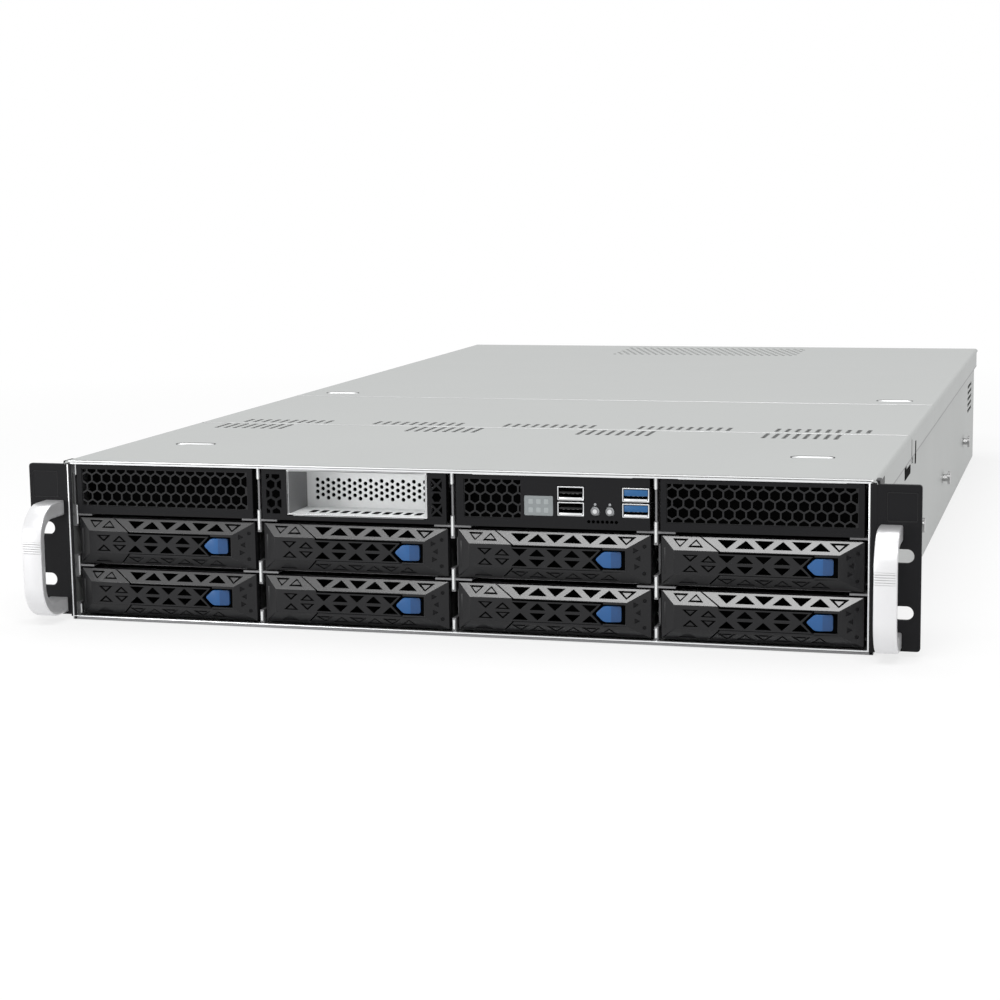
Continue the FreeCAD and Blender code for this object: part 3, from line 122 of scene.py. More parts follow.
# darker silver as painted shade in the grooves of the handles
GROOVE_PAINTED_SHADE = finish("groove_painted_shade", (0.60, 0.60, 0.60), 0.5, 0.5, grain=1800, bump=0.02)
TIN = finish("socket_steel", (0.66, 0.67, 0.68), 0.25, 1.0, grain=900, bump=0.03)
WINDOW = finish("grey_window", (0.22, 0.24, 0.245), 0.3, grain=300, bump=0.02, blotch=300)
DOT = finish("window_dot", (0.30, 0.325, 0.33), 0.4, grain=300, bump=0.02)
BUTTON = finish("silver_button", (0.34, 0.35, 0.36), 0.25, 0.85, grain=1200, bump=0.03)
STUD = finish("stud_steel", (0.34, 0.34, 0.34), 0.30, 1.0, grain=900, bump=0.04)
BOARD = finish("circuit_board", (0.015, 0.10, 0.045), 0.35, grain=500, bump=0.10, spread=0.15, blotch=200)
HEATSINK = finish("heatsink_aluminium", (0.70, 0.71, 0.72), 0.3, 1.0, grain=900, bump=0.04)
FAN = finish("fan_plastic", (0.02, 0.02, 0.021), 0.4, grain=1500, bump=0.06, specular=0.25)
SUPPLY = finish("supply_steel", (0.50, 0.51, 0.51), 0.35, 0.85, grain=500, bump=0.05, spread=0.06, blotch=60)

# ------------------------ forms, all sizes in millimetres

SHARP = math.radians(32)             # edges sharper than this stay crisp
FRONTAL = Matrix(((1, 0, 0, 0), (0, 0, -1, 0), (0, 1, 0, 0), (0, 0, 0, 1)))
SIDEWAYS = Matrix(((0, 0, 1, 0), (1, 0, 0, 0), (0, 1, 0, 0), (0, 0, 0, 1)))


def shift(x=0.0, y=0.0, z=0.0):
    return Matrix.Translation((x * MM, y * MM, z * MM))


def plate(loops, thick, bevel=0.0):
    """A flat plate with holes, centred on its own plane, with a small bevel all round."""
    curve = bpy.data.curves.new("outline", "CURVE")
    curve.dimensions, curve.fill_mode = "2D", "BOTH"
    for loop in loops:
        spline = curve.splines.new("POLY")
        spline.points.add(len(loop) - 1)
        for point, (across, up) in zip(spline.points, loop):
            point.co = (across * MM, up * MM, 0, 1)
        spline.use_cyclic_u = True
    curve.extrude = (thick / 2 - bevel) * MM
    curve.bevel_depth = bevel * MM
    curve.offset = -bevel * MM
    curve.bevel_resolution = 1
    holder = bpy.data.objects.new("outline", curve)
    mesh = bpy.data.meshes.new_from_object(holder)
    bpy.data.objects.remove(holder)
    bpy.data.curves.remove(curve)
    return mesh


def block(low, high, bevel=0.0):
    form = bmesh.new()
    bmesh.ops.create_cube(form, size=1)
    low, high = Vector(low) * MM, Vector(high) * MM
    for vert in form.verts:
        vert.co = [low[k] + (vert.co[k] + 0.5) * (high[k] - low[k]) for k in range(3)]
    if bevel:
        bmesh.ops.bevel(form, geom=form.edges[:], offset=bevel * MM, segments=2, affect="EDGES",
                        profile=0.5)
    return as_mesh(form)


def as_mesh(form):
    mesh = bpy.data.meshes.new("form")
    form.to_mesh(mesh)
    form.free()
    return mesh


def drum(radius, length, faces, bevel):
    """A round bar along its own Z, starting at zero."""
    form = bmesh.new()
    rings = [(radius - bevel, 0.0), (radius, bevel), (radius, length - bevel), (radius - bevel, length)]
    rows = []
    for reach, height in rings:
        rows.append([form.verts.new((reach * MM * math.cos(turn * math.tau / faces),
                                     reach * MM * math.sin(turn * math.tau / faces), height * MM))
                     for turn in range(faces)])
    for first, second in zip(rows, rows[1:]):
        for turn in range(faces):
            after = (turn + 1) % faces
            form.faces.new((first[turn], first[after], second[after], second[turn]))
    form.faces.new(reversed(rows[0]))
    form.faces.new(rows[-1])
    bmesh.ops.recalc_face_normals(form, faces=form.faces[:])
    return as_mesh(form)


def rectangle(left, low, right, high):
    return [(left, low), (right, low), (right, high), (left, high)]


def rounded(left, low, right, high, radius, steps=5):
    loop = []
    for middle_x, middle_y, start in ((right - radius, low + radius, -0.25),
                                      (right - radius, high - radius, 0.0),
                                      (left + radius, high - radius, 0.25),
                                      (left + radius, low + radius, 0.5)):
        for step in range(steps + 1):
            turn = math.tau * (start + 0.25 * step / steps)
            loop.append((middle_x + radius * math.cos(turn), middle_y + radius * math.sin(turn)))
    return loop


def ring(across, up, radius, points=24, turned=0.0):
    return [(across + radius * math.cos(math.tau * (k + turned) / points),
             up + radius * math.sin(math.tau * (k + turned) / points)) for k in range(points)]


def triangle(middle, flat, point, width):
    return [(middle - width / 2, flat), (middle + width / 2, flat), (middle, point)]


def soften(loop, radius, steps=3):
    """Rounds the corners of a convex loop."""
    made, total = [], len(loop)
    for k in range(total):
        before, here, after = (Vector(loop[(k + step) % total]) for step in (-1, 0, 1))
        first = here + (before - here).normalized() * radius
        last = here + (after - here).normalized() * radius
        for step in range(steps + 1):
            t = step / steps
            spot = first * (1 - t) ** 2 + here * 2 * t * (1 - t) + last * t ** 2
            made.append((spot.x, spot.y))
    return made


def clip(loop, left, low, right, high):
    """The part of a convex loop inside a rectangle."""
    for axis, edge, sign in ((0, left, 1), (0, right, -1), (1, low, 1), (1, high, -1)):
        made = []
        for here, after in zip(loop, loop[1:] + loop[:1]):
            inside, next_inside = sign * (here[axis] - edge) >= 0, sign * (after[axis] - edge) >= 0
            if inside:
                made.append(here)
            if inside != next_inside:
                t = (edge - here[axis]) / (after[axis] - here[axis])
                made.append(tuple(a + t * (b - a) for a, b in zip(here, after)))
        loop = made
        if not loop:
            return []
    return loop


class Build:
    """Gathers forms and their finishes into one object."""

    def __init__(self, name):
        self.name, self.form, self.finishes = name, bmesh.new(), []

    def add(self, mesh, surface, place=Matrix()):
        if surface not in self.finishes:
            self.finishes.append(surface)
        verts, faces = len(self.form.verts), len(self.form.faces)
        self.form.from_mesh(mesh)
        bpy.data.meshes.remove(mesh)
        self.form.verts.ensure_lookup_table()
        self.form.faces.ensure_lookup_table()
        bmesh.ops.transform(self.form, matrix=place, verts=self.form.verts[verts:])
        for face in self.form.faces[faces:]:
            face.material_index = self.finishes.index(surface)

    def front(self, loops, surface, start, end, bevel=0.0):
        """A plate across the front, from start to end along Y."""
        self.add(plate(loops, end - start, bevel), surface, shift(y=(start + end) / 2) @ FRONTAL)

    def level(self, loops, surface, low, high):
        """A plate that lies flat, from low to high."""
        self.add(plate(loops, high - low), surface, shift(z=(low + high) / 2))

    def upright(self, loops, surface, left, right, bevel=0.0):
        """A plate along the side; its loops are (y, z)."""
        self.add(plate(loops, right - left, bevel), surface, shift(x=(left + right) / 2) @ SIDEWAYS)

    def block(self, low, high, surface, bevel=0.0):
        self.add(block(low, high, bevel), surface)

    def mesh(self):
        made = bpy.data.meshes.new(self.name)
        self.form.to_mesh(made)
        self.form.free()
        for surface in self.finishes:
            made.materials.append(surface)
        for face in made.polygons:
            face.use_smooth = True
        made.set_sharp_from_angle(angle=SHARP)
        return made

    def done(self, body, slot, *nodes):
        put(self.name, self.mesh(), body, slot, *nodes)


def put(name, mesh, body, slot, *nodes, at=(0.0, 0.0, 0.0)):
    made = bpy.data.objects.new(name, mesh)
    bpy.context.scene.collection.objects.link(made)
    made.location = Vector(at) * MM
    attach(made, body)
    if nodes:
        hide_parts(*nodes)


def corners(node):
    """The lowest and highest corner of a CAD node, in millimetres."""
    low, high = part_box(node)
    return low / MM, high / MM


# ------------------------ drive carriers

TRAY_LOW, TRAY_HIGH = corners("drive_tray_1")
LATCH = tuple((spot.x - TRAY_LOW.x, spot.z - TRAY_LOW.z) for spot in corners("tray_latch_1"))
WIDE = TRAY_HIGH.x - TRAY_LOW.x
TALL = TRAY_HIGH.z - TRAY_LOW.z
FACE = TRAY_LOW.y                    # raised face of the bezel
RISE = 4.0                           # depth of its bevelled sides
BACK = 10.2                          # from the face to the back of the back plate
FACE_LEFT, FACE_RIGHT, FACE_LOW, FACE_HIGH = 7.2, 90.8, 6.2, 18.6
SPLIT_TOP, SPLIT_LOW, BAR_START = 20.0, 23.5, 30.0
BAR_LOW, BAR_HIGH, GROOVE = 6.6, 17.4, 0.9
BAR_MIDDLE = (BAR_LOW + BAR_HIGH) / 2
BAR_TIP, BAR_END = LATCH[0][0] - 0.9, LATCH[0][0] + 4.2    # the bar ends in a notch round the latch
SKIN = 0.7                           # outer layer, which carries the blind recesses
BAND_START, BAND_PITCH = 34.0, 9.4   # triangles of the upper and lower band
CELL_START, CELL_PITCH = 34.2, 9.3   # crosses and diamonds of the lattice
LATTICE_GAP = 0.8                    # from the middle of the bar to its triangles
MARKS = (10.2, 18.2)                 # outlined triangles on the lever block


# each bevelled side: along it, away from the face, where it starts and how far it spreads
SIDES = {"top": ((1, 0, 0), (0, 0, 1), (0, 0, FACE_HIGH), TALL - FACE_HIGH),
         "low": ((1, 0, 0), (0, 0, -1), (0, 0, FACE_LOW), FACE_LOW),
         "left": ((0, 0, 1), (-1, 0, 0), (FACE_LEFT, 0, 0), FACE_LEFT),
         "right": ((0, 0, 1), (1, 0, 0), (FACE_RIGHT, 0, 0), WIDE - FACE_RIGHT)}


def band(side):
    """Placement of the skin of one bevelled side, its width, and the sign of its inward depth."""
    along, away, start, spread = SIDES[side]
    along, out = Vector(along), (Vector(away) * spread + Vector((0, RISE, 0))).normalized()
    depth = along.cross(out)
    turned = Matrix((along, out, depth)).transposed().to_4x4()
    place = shift(*(Vector(start) + Vector((TRAY_LOW.x, FACE, TRAY_LOW.z)))) @ turned
    return place, math.hypot(spread, RISE), -1.0 if depth.y < 0 else 1.0


def skin(build, side, outline, holes, pockets, surface, floor):
    """Two layers: the outer one has every opening, the inner one only the through holes."""
    place, _, sink = band(side)
    outer = place @ shift(z=sink * SKIN / 2)
    inner = place @ shift(z=sink * SKIN * 1.5)
    build.add(plate([outline] + holes + pockets, SKIN, 0.1), surface, outer)
    build.add(plate([outline] + holes, SKIN, 0.0), floor, inner)


def band_triangle(side, middle, down, wide=9.9, inset=0.0):
    """A triangle in a band: flat side up and point down, or the other way round."""
    _, width, _ = band(side)
    flat, point = width - 1.3 - inset, 1.8 + inset
    if not down:
        flat, point = 1.9 + inset, width - 1.4 - inset
    return soften(triangle(middle, flat, point, wide), 0.3, 2)


def outlined(build, side, middle, down, surface):
    """Raised middle of an outlined triangle."""
    place, _, sink = band(side)
    build.add(plate([band_triangle(side, middle, down, 5.0, 0.95)], SKIN, 0.08), surface,
              place @ shift(z=sink * SKIN * 0.62))


def pair(middle, wide, flat, point):
    """Two triangles, one above and one below the middle of the lattice bar."""
    return [soften(triangle(middle, BAR_MIDDLE + word * flat, BAR_MIDDLE + word * point, wide), 0.3, 2)
            for word in (-1, 1)]


def cross(middle, wide, reach):
    """Two triangles of the lattice that point at each other."""
    return pair(middle, wide, reach, LATTICE_GAP)


def diamond(middle, wide, reach):
    """Two triangles of the lattice that point away from each other, with a bar between them."""
    return pair(middle, wide, LATTICE_GAP, reach)


def hollow(k, middle):
    """Raised middles of the engraved triangles of a cross or a diamond."""
    flat, point = (3.9, 1.9) if k % 2 == 0 else (1.3, 3.3)
    return [(middle, BAR_MIDDLE + word * flat, BAR_MIDDLE + word * point, 4.6) for word in (-1, 1)]


def carrier_bezel():
    """The fixed part of the bezel with its through triangles, its box, back plate and drive rails."""
    build = Build("carrier")
    base = shift(TRAY_LOW.x, 0, TRAY_LOW.z)
    _, top, _ = band("top")
    _, low, _ = band("low")
    _, right, _ = band("right")
    spots = [BAND_START + k * BAND_PITCH for k in range(7)]
    cells = [band_triangle("top", spot, k % 2 == 0) for k, spot in enumerate(spots[:6])]
    outline = [(BAR_START + GROOVE, 0), (FACE_RIGHT, 0), (WIDE, top), (SPLIT_TOP + GROOVE, top)]
    # the blind triangle has a floor in painted shade round its raised middle
    skin(build, "top", outline, cells, [band_triangle("top", spots[6], True)], BAND, PAINTED_SHADE)
    outlined(build, "top", spots[6], True, BAND)
    outline = [(BAR_START + GROOVE, 0), (FACE_RIGHT, 0), (WIDE, low), (SPLIT_LOW + GROOVE, low)]
    under = [band_triangle("low", spot, k % 2 == 1) for k, spot in enumerate(spots[:6])]
    skin(build, "low", outline, [], under, MOULDED, MOULDED)
    for k, spot in enumerate(spots[:6]):
        outlined(build, "low", spot, k % 2 == 1, MOULDED)
    outline = [(FACE_LOW, 0), (FACE_HIGH, 0), (TALL, right), (0, right)]
    pockets = [soften(triangle(along, across, point, 3.0), 0.2, 2)
               for along, across, point in ((17.4, 3.4, 6.2), (13.2, 7.0, 4.4), (9.0, 4.0, 6.8))]
    pockets += [ring(along, across, 1.1, 6) for along, across in ((19.4, 9.2), (5.4, 9.0))]
    skin(build, "right", outline, [], pockets, MOULDED, PANEL)
    # raised face round the bar and the latch
    slot_low, slot_high = LATCH[0][1] - 0.9, LATCH[1][1] + 0.9
    slot_left, slot_right = LATCH[0][0] + 4.5, LATCH[1][0] + 1.9
    start, end = BAR_START + GROOVE, BAR_END + GROOVE
    pocket = [(LATCH[0][0] - 0.4, BAR_MIDDLE), (slot_left, slot_low), (slot_right, slot_low),
              (slot_right, slot_high), (slot_left, slot_high)]
    face = [(start, BAR_HIGH + GROOVE), (end, BAR_HIGH + GROOVE), (end, slot_high), (slot_right, slot_high),
            (slot_right, slot_low), (end, slot_low), (end, BAR_LOW - GROOVE), (start, BAR_LOW - GROOVE),
            (start, FACE_LOW), (FACE_RIGHT, FACE_LOW), (FACE_RIGHT, FACE_HIGH), (start, FACE_HIGH)]
    build.add(plate([face], 1.6, 0.12), MOULDED, base @ shift(y=FACE + 0.8) @ FRONTAL)
    # painted shade in the pocket round the latch
    build.add(plate([soften(pocket, 0.6, 2)], 0.8), PAINTED_SHADE, base @ shift(y=FACE + 4.2) @ FRONTAL)
    # box behind the skin
    rim = FACE + RISE
    shell = [rectangle(0, 0, WIDE, TALL), rectangle(1.2, 1.2, WIDE - 1.2, TALL - 1.2)]
    build.add(plate(shell, BACK - RISE, 0.2), MOULDED, base @ shift(y=rim + (BACK - RISE) / 2) @ FRONTAL)
    # back plate in painted shade, seen through the triangles
    build.add(plate([rectangle(0.5, 0.5, WIDE - 0.5, TALL - 0.5)], 1.0), PAINTED_SHADE,
              base @ shift(y=FACE + BACK - 0.5) @ FRONTAL)
    # rails and cross bars that hold the drive
    start, end = FACE + BACK, TRAY_HIGH.y
    rail_low, rail_high = TALL / 2 - 10, TALL / 2 + 10
    for left in (1.0, WIDE - 2.8):
        holes = [rounded(start + 26 + step, rail_low + 5, start + 38 + step, rail_low + 9, 1.9)
                 for step in (0, 44, 88)]
        holes += [ring(start + 16 + step, rail_low + 6, 1.7) for step in (0, 60, 118)]
        build.add(plate([rounded(start, rail_low, end, rail_high, 2)] + holes, 1.8, 0.2), INNER_STEEL,
                  base @ shift(x=left + 0.9) @ SIDEWAYS)
    for step in (30, end - start - 12):
        build.add(block((2.8, start + step, rail_low), (WIDE - 2.8, start + step + 12, rail_low + 1.8), 0.2),
                  INNER_STEEL, base)
    return build.mesh()


def carrier_lever():
    """The lever: outlined triangles on its block, lattice bar, and the knuckle on the hinge pin."""
    build = Build("lever")
    base = shift(TRAY_LOW.x, 0, TRAY_LOW.z)
    _, top, _ = band("top")
    _, low, _ = band("low")
    _, left, _ = band("left")
    outline = [(FACE_LEFT, 0), (BAR_START, 0), (SPLIT_TOP, top), (0.4, top)]
    # the outlined triangles have a floor in painted shade round their raised middles
    skin(build, "top", outline, [], [band_triangle("top", spot, k == 0, 7.8) for k, spot in enumerate(MARKS)],
         BAND, PAINTED_SHADE)
    for k, spot in enumerate(MARKS):
        outlined(build, "top", spot, k == 0, BAND)
    outline = [(FACE_LEFT, 0), (BAR_START, 0), (SPLIT_LOW, low), (0.4, low)]
    skin(build, "low", outline, [], [band_triangle("low", 14.0, True)], MOULDED, MOULDED)
    outline = [(FACE_LOW, 0), (FACE_HIGH, 0), (TALL - 0.4, left), (0.4, left)]
    skin(build, "left", outline, [], [], MOULDED, MOULDED)
    # face of the block with an engraved cross and diamond, then the open lattice
    cells, engraved = [], []
    for k in range(-2, 5):
        shape = cross if k % 2 == 0 else diamond
        spot = CELL_START + k * CELL_PITCH
        if k >= 0:
            cells.extend(shape(spot, 8.6, 4.6))
        else:
            engraved += shape(spot, 8.2, 4.4)
            engraved += [soften(triangle(*inner), 0.2, 2) for inner in hollow(k, spot)]
    face = [(FACE_LEFT, FACE_LOW), (BAR_START, FACE_LOW), (BAR_START, BAR_LOW), (BAR_END, BAR_LOW),
            (BAR_TIP, BAR_MIDDLE), (BAR_END, BAR_HIGH), (BAR_START, BAR_HIGH), (BAR_START, FACE_HIGH),
            (FACE_LEFT, FACE_HIGH)]
    build.add(plate([face] + cells + engraved, SKIN, 0.14), MOULDED,
              base @ shift(y=FACE + SKIN / 2) @ FRONTAL)
    # painted shade behind the open lattice and in the engraved triangles
    build.add(plate([face] + cells, 2.0, 0.1), PAINTED_SHADE, base @ shift(y=FACE + SKIN + 1.0) @ FRONTAL)
    # arms towards the pin and the knuckle round it
    pin = (3.6, FACE + 5.5)
    build.add(block((1.6, FACE + 2.6, 5.6), (8.0, FACE + 5.6, TALL - 5.6), 0.3), MOULDED, base)
    build.add(drum(2.1, TALL - 11.4, 28, 0.2), MOULDED, base @ shift(pin[0], pin[1], 5.7))
    return build.mesh()


def carrier_latch():
    """Blue slide: a face with a pointed left end and a right end that slopes back, with rounded edges; the
    sloping end is a darker blue as painted shade.
    """
    (left, low), (right, high) = LATCH
    shoulder, break_line, slope = left + 5.3, right - 5.6, 1.5
    left, right = left + 0.9, right - 0.6
    outline = soften([(left, (low + high) / 2), (shoulder, low), (right, low), (right, high),
                      (shoulder, high)], 1.3)
    form = bmesh.new()
    form.faces.new([form.verts.new((across * MM, 0, up * MM)) for across, up in outline])
    bmesh.ops.bisect_plane(form, geom=form.verts[:] + form.edges[:] + form.faces[:],
                           plane_co=(break_line * MM, 0, 0), plane_no=(1, 0, 0))
    for vert in form.verts:
        past = vert.co.x / MM - break_line
        if past > 0.01:
            vert.co.y += past / (right - break_line) * slope * MM
    made = bmesh.ops.extrude_face_region(form, geom=form.faces[:])
    for item in made["geom"]:
        if isinstance(item, bmesh.types.BMVert):
            item.co.y = 3.1 * MM
    bmesh.ops.recalc_face_normals(form, faces=form.faces[:])
    sharp = [edge for edge in form.edges if len(edge.link_faces) == 2 and edge.calc_face_angle() > 0.9
             and max(vert.co.y for vert in edge.verts) < 1.2 * MM]
    bmesh.ops.bevel(form, geom=sharp, offset=0.35 * MM, segments=3, affect="EDGES", profile=0.5)
    build = Build("latch")
    build.add(as_mesh(form), BLUE, shift(TRAY_LOW.x, FACE + 0.3, TRAY_LOW.z))
    # faces of the sloping end get the darker blue as painted shade
    build.finishes.append(BLUE_PAINTED_SHADE)
    for face in build.form.faces:
        face.normal_update()
        if face.normal.x > 0.15 and face.calc_center_median().x / MM > TRAY_LOW.x + break_line:
            face.material_index = 1
    return build.mesh()


def carriers():
    bezel, lever, latch = carrier_bezel(), carrier_lever(), carrier_latch()
    for k in range(1, 9):
        at = corners(f"drive_tray_{k}")[0] - TRAY_LOW
        put(f"carrier_bezel_{k}", bezel, f"tray_{k}", "black_plastic", f"drive_tray_{k}", at=at)
        put(f"carrier_lever_{k}", lever, f"lever_{k}", "black_plastic", f"tray_lever_{k}", at=at)
        put(f"carrier_latch_{k}", latch, f"latch_{k}", "blue_plastic", f"tray_latch_{k}", at=at)


# ------------------------ front panels

HEX_PITCH = 5.8
PANEL_STEEL = 1.2


def hexagons(left, low, right, high, across=4.9):
    """A staggered field of hexagons, cut off at the edges of the field."""
    loops, row_pitch = [], HEX_PITCH * math.sqrt(3) / 2
    middle, reach = (low + high) / 2, across / 2 / math.cos(math.pi / 6)
    for row in range(-2, 3):
        start = left + (HEX_PITCH / 2 if row % 2 else 0.0)
        for k in range(int((right - left) / HEX_PITCH) + 2):
            cell = ring(start + k * HEX_PITCH, middle + row * row_pitch, reach, 6, 0.5)
            cell = clip(cell, left + 0.3, low + 0.3, right - 0.3, high - 0.3)
            if len(cell) > 2 and area(cell) > 1.5:
                loops.append(cell)
    return loops


def area(loop):
    return abs(sum(a[0] * b[1] - b[0] * a[1] for a, b in zip(loop, loop[1:] + loop[:1]))) / 2


def grilles():
    for name in ("left_grille", "right_grille"):
        low, high = corners(name)
        build = Build(name + "_mesh")
        field = (low.x + 3, low.z + 4.6, high.x - 3, high.z - 2.8)
        start = low.y
        build.front([rectangle(*field)] + hexagons(*field), WEB, start + 0.5, start + 1.3, 0.08)
        build.front([rounded(low.x, low.z, high.x, high.z, 0.8), rectangle(*field)], PANEL, start,
                    start + PANEL_STEEL, 0.15)
        build.block((low.x, start + 0.6, low.z), (high.x, high.y, low.z + 1.2), PANEL, 0.2)
        build.block((low.x + 1, start + 0.6, high.z - 1.2), (high.x - 1, high.y, high.z - 0.2), PANEL, 0.2)
        # painted shade across the back of the grille
        build.block((low.x + 1, high.y - 0.6, low.z + 1), (high.x - 1, high.y, high.z - 1), PAINTED_SHADE)
        if name == "right_grille":
            top_line(build, low, high)
        build.done("chassis", "black_panel", name)


def top_line(build, low, high):
    """Painted highlight along the upper edge of a panel, under the cover."""
    build.block((low.x + 9, low.y - 0.1, high.z - 0.7), (high.x - 9, low.y + 0.3, high.z - 0.3),
                HIGHLIGHT_STEEL, 0.1)


def slot_bay():
    """Black bezel with its mesh and its strip of crossed vents."""
    low, high = corners("slot_bezel")
    tray_low, tray_high = corners("slot_tray")
    build = Build("slot_frame")
    start = low.y
    mouth = rectangle(tray_low.x - 0.3, tray_low.z - 0.3, tray_high.x + 0.3,
                      min(tray_high.z + 0.3, high.z - 0.2))
    vent = (low.x + 2.2, low.z + 3, tray_low.x - 3, high.z - 3)
    across, middle = (tray_high.x + high.x) / 2, (low.z + high.z) / 2 + 0.4
    strip = [ring(across, middle, 2.6, 6)]
    for word in (-1, 1):
        centre = middle + word * 6.6
        strip += [soften(triangle(across, centre + way * 3.4, centre + way * 0.7, 5.6), 0.25, 2)
                  for way in (-1, 1)]
        strip += [soften([(across + way * 3.0, centre - 2.2), (across + way * 3.0, centre + 2.2),
                          (across + way * 1.0, centre)], 0.25, 2) for way in (-1, 1)]
    build.front([rounded(low.x, low.z, high.x, high.z, 0.8), mouth] + strip + hexagons(*vent, across=4.4),
                PANEL, start, start + PANEL_STEEL, 0.12)
    # painted shade behind the mesh and the vents
    build.block((low.x + 1, start + 8, low.z + 1), (tray_low.x - 0.6, start + 8.6, high.z - 1), PAINTED_SHADE)
    build.block((tray_high.x + 0.6, start + 8, low.z + 1), (high.x - 1, start + 8.6, high.z - 1), PAINTED_SHADE)
    build.done("chassis", "black_panel", "slot_bezel")


def slot_shell():
    """Pale tray of the slim bay: perforated back and slots in its floor with painted shade behind them, a
    left wall in painted shade, and a rolled rim with a painted highlight.
    """
    low, high = corners("slot_tray")
    tray = Build("slot_shell")
    front, back = low.y, high.y
    first_x, first_z, across, down, radius = low.x + 6.8, high.z - 9.0, 3.05, 3.3, 1.12
    holes = []
    for column in range(23):
        lower = 0.5 * (column % 2)
        for row in range(4 if column % 2 == 0 else 3):
            holes.append(ring(first_x + column * across, first_z - (row + lower) * down, radius, 12))
    tray.front([rectangle(low.x, low.z, high.x, high.z)] + holes, WHITE_TRAY, back - 0.8, back)
    # painted shade behind the perforated back
    tray.block((low.x + 1, back + 0.02, low.z + 1), (high.x - 1, back + 0.1, high.z - 1), PAINTED_SHADE)
    dashes = [rounded(low.x + 8.5 + k * 5.9, front + 8.0, low.x + 12.5 + k * 5.9, front + 17.5, 1.2)
              for k in range(11)]
    tray.level([rectangle(low.x, front, high.x, back - 0.8)] + dashes, WHITE_TRAY, low.z + 0.3, low.z + 0.5)
    # painted shade under the slots in the floor
    tray.level([rectangle(low.x, front, high.x, back - 0.8)], PAINTED_SHADE, low.z + 0.1, low.z + 0.28)
    tray.block((low.x, front, high.z - 0.8), (high.x, back - 0.8, high.z), WHITE_TRAY, 0.2)
    # left wall in painted shade, right wall in the pale tray finish
    for edge, surface in ((low.x, DARK_STEEL_AND_SHADE), (high.x - 0.8, WHITE_TRAY)):
        tray.block((edge, front, low.z + 0.5), (edge + 0.8, back - 0.8, high.z - 0.8), surface, 0.1)
    # rolled rim with a painted highlight
    lip = [rounded(low.x, low.z, high.x, high.z, 1.2),
           rounded(low.x + 0.9, low.z + 0.9, high.x - 0.9, high.z - 0.9, 0.6)]
    tray.front(lip, BRIGHT_HIGHLIGHT, front, front + 0.9, 0.3)
    tray.block((low.x + 3, front + 0.6, low.z - 1.9), (high.x - 2, front + 1.0, low.z), INNER_STEEL, 0.1)
    tray.done("chassis", "zinc_steel", "slot_tray")


SOCKET_WIDE, SOCKET_TALL = 14.0, 7.2
BUTTONS = ("power_button", "reset_button")
LIGHT_LIFT = 3.5                     # small light above the middle of each button


def operator_panel():
    """Panel with honeycomb, light window, sockets and button holes."""
    low, high = corners("io_panel")
    build = Build("operator_plate")
    start = low.y
    window_low, window_high = corners("status_window")
    shells_low, shells_high = corners("usb_shells")
    field = (low.x + 4.2, low.z + 4.6, window_low.x - 0.6, high.z - 2.8)
    holes = [rectangle(window_low.x + 1, window_low.z + 1, window_high.x - 1, window_high.z - 1)]
    spots = []
    for name in BUTTONS:
        a, b = corners(name)
        spots.append(((a.x + b.x) / 2, (a.z + b.z) / 2))
    holes += [ring(x, z, 2.6) for x, z in spots]
    holes += [ring(x, z + LIGHT_LIFT, 0.8, 12) for x, z in spots]
    holes += [ring(spots[0][0] - 3.4 + 2.4 * k, low.z + 4.0, 0.95, 6) for k in range(7)]
    sockets = [(left, up) for left in (shells_low.x, shells_high.x - SOCKET_WIDE)
               for up in (shells_low.z, shells_high.z - SOCKET_TALL)]
    for left, up in sockets:
        right = min(left + SOCKET_WIDE + 0.3, high.x - 0.5)
        holes.append(rectangle(left - 0.3, up - 0.3, right, up + SOCKET_TALL + 0.3))
    build.front([rounded(low.x, low.z, high.x, high.z, 0.8), rectangle(*field)] + holes, PANEL, start,
                start + PANEL_STEEL, 0.12)
    build.front([rectangle(*field)] + hexagons(*field), WEB, start + 0.5, start + 1.3, 0.08)
    build.block((low.x, start + 0.6, low.z), (high.x, high.y, low.z + 1.2), PANEL, 0.2)
    # painted shade across the back of the panel
    build.block((low.x + 1, high.y - 0.6, low.z + 1), (high.x - 1, high.y, high.z - 1), PAINTED_SHADE)
    top_line(build, low, high)
    build.done("chassis", "black_panel", "io_panel")
    socket_shells(sockets, shells_low.y, shells_high.y)
    light_window(start, window_low, window_high)
    buttons(start, spots)


def socket_shells(sockets, front, back):
    """Steel frames with a thick lower edge in a painted highlight and painted shade at their back, and the
    tongues with their contacts.
    """
    shells = Build("socket_shells")
    for left, up in sockets:
        right, high = left + SOCKET_WIDE, up + SOCKET_TALL
        shells.front([rounded(left, up, right, high, 0.4),
                      rectangle(left + 0.6, up + 0.6, right - 0.6, high - 0.6)], TIN, front, back - 0.5, 0.12)
        # painted shade inside the back of each socket
        shells.block((left + 0.4, back - 1.5, up + 0.4), (right - 0.4, back - 0.5, high - 0.4), PAINTED_SHADE)
        # painted highlight on the thick lower edge
        shells.block((left + 0.9, front, up + 0.1), (right - 0.9, front + 0.7, up + 1.6), BRIGHT_HIGHLIGHT, 0.2)
    shells.done("chassis", "socket_steel", "usb_shells")
    for name, surface, slot, thick, lift in (("usb2_tongues", WEB, "black_plastic", 1.0, 4.4),
                                             ("usb3_tongues", BRIGHT_BLUE, "blue_plastic", 3.2, 6.2)):
        a, b = corners(name)
        tongues = Build(name + "_face")
        for up in sorted({up for _, up in sockets}):
            top, under = up + lift, up + lift - thick
            tongues.block((a.x - 0.3, front + 0.35, under), (b.x + 0.3, b.y, top), surface, 0.25)
            for k in range(4):
                left = a.x + 1.4 + k * 2.4
                tongues.block((left, front + 1.2, under - 0.15), (left + 1.2, b.y, under), TIN, 0.04)
        tongues.done("chassis", slot, name)


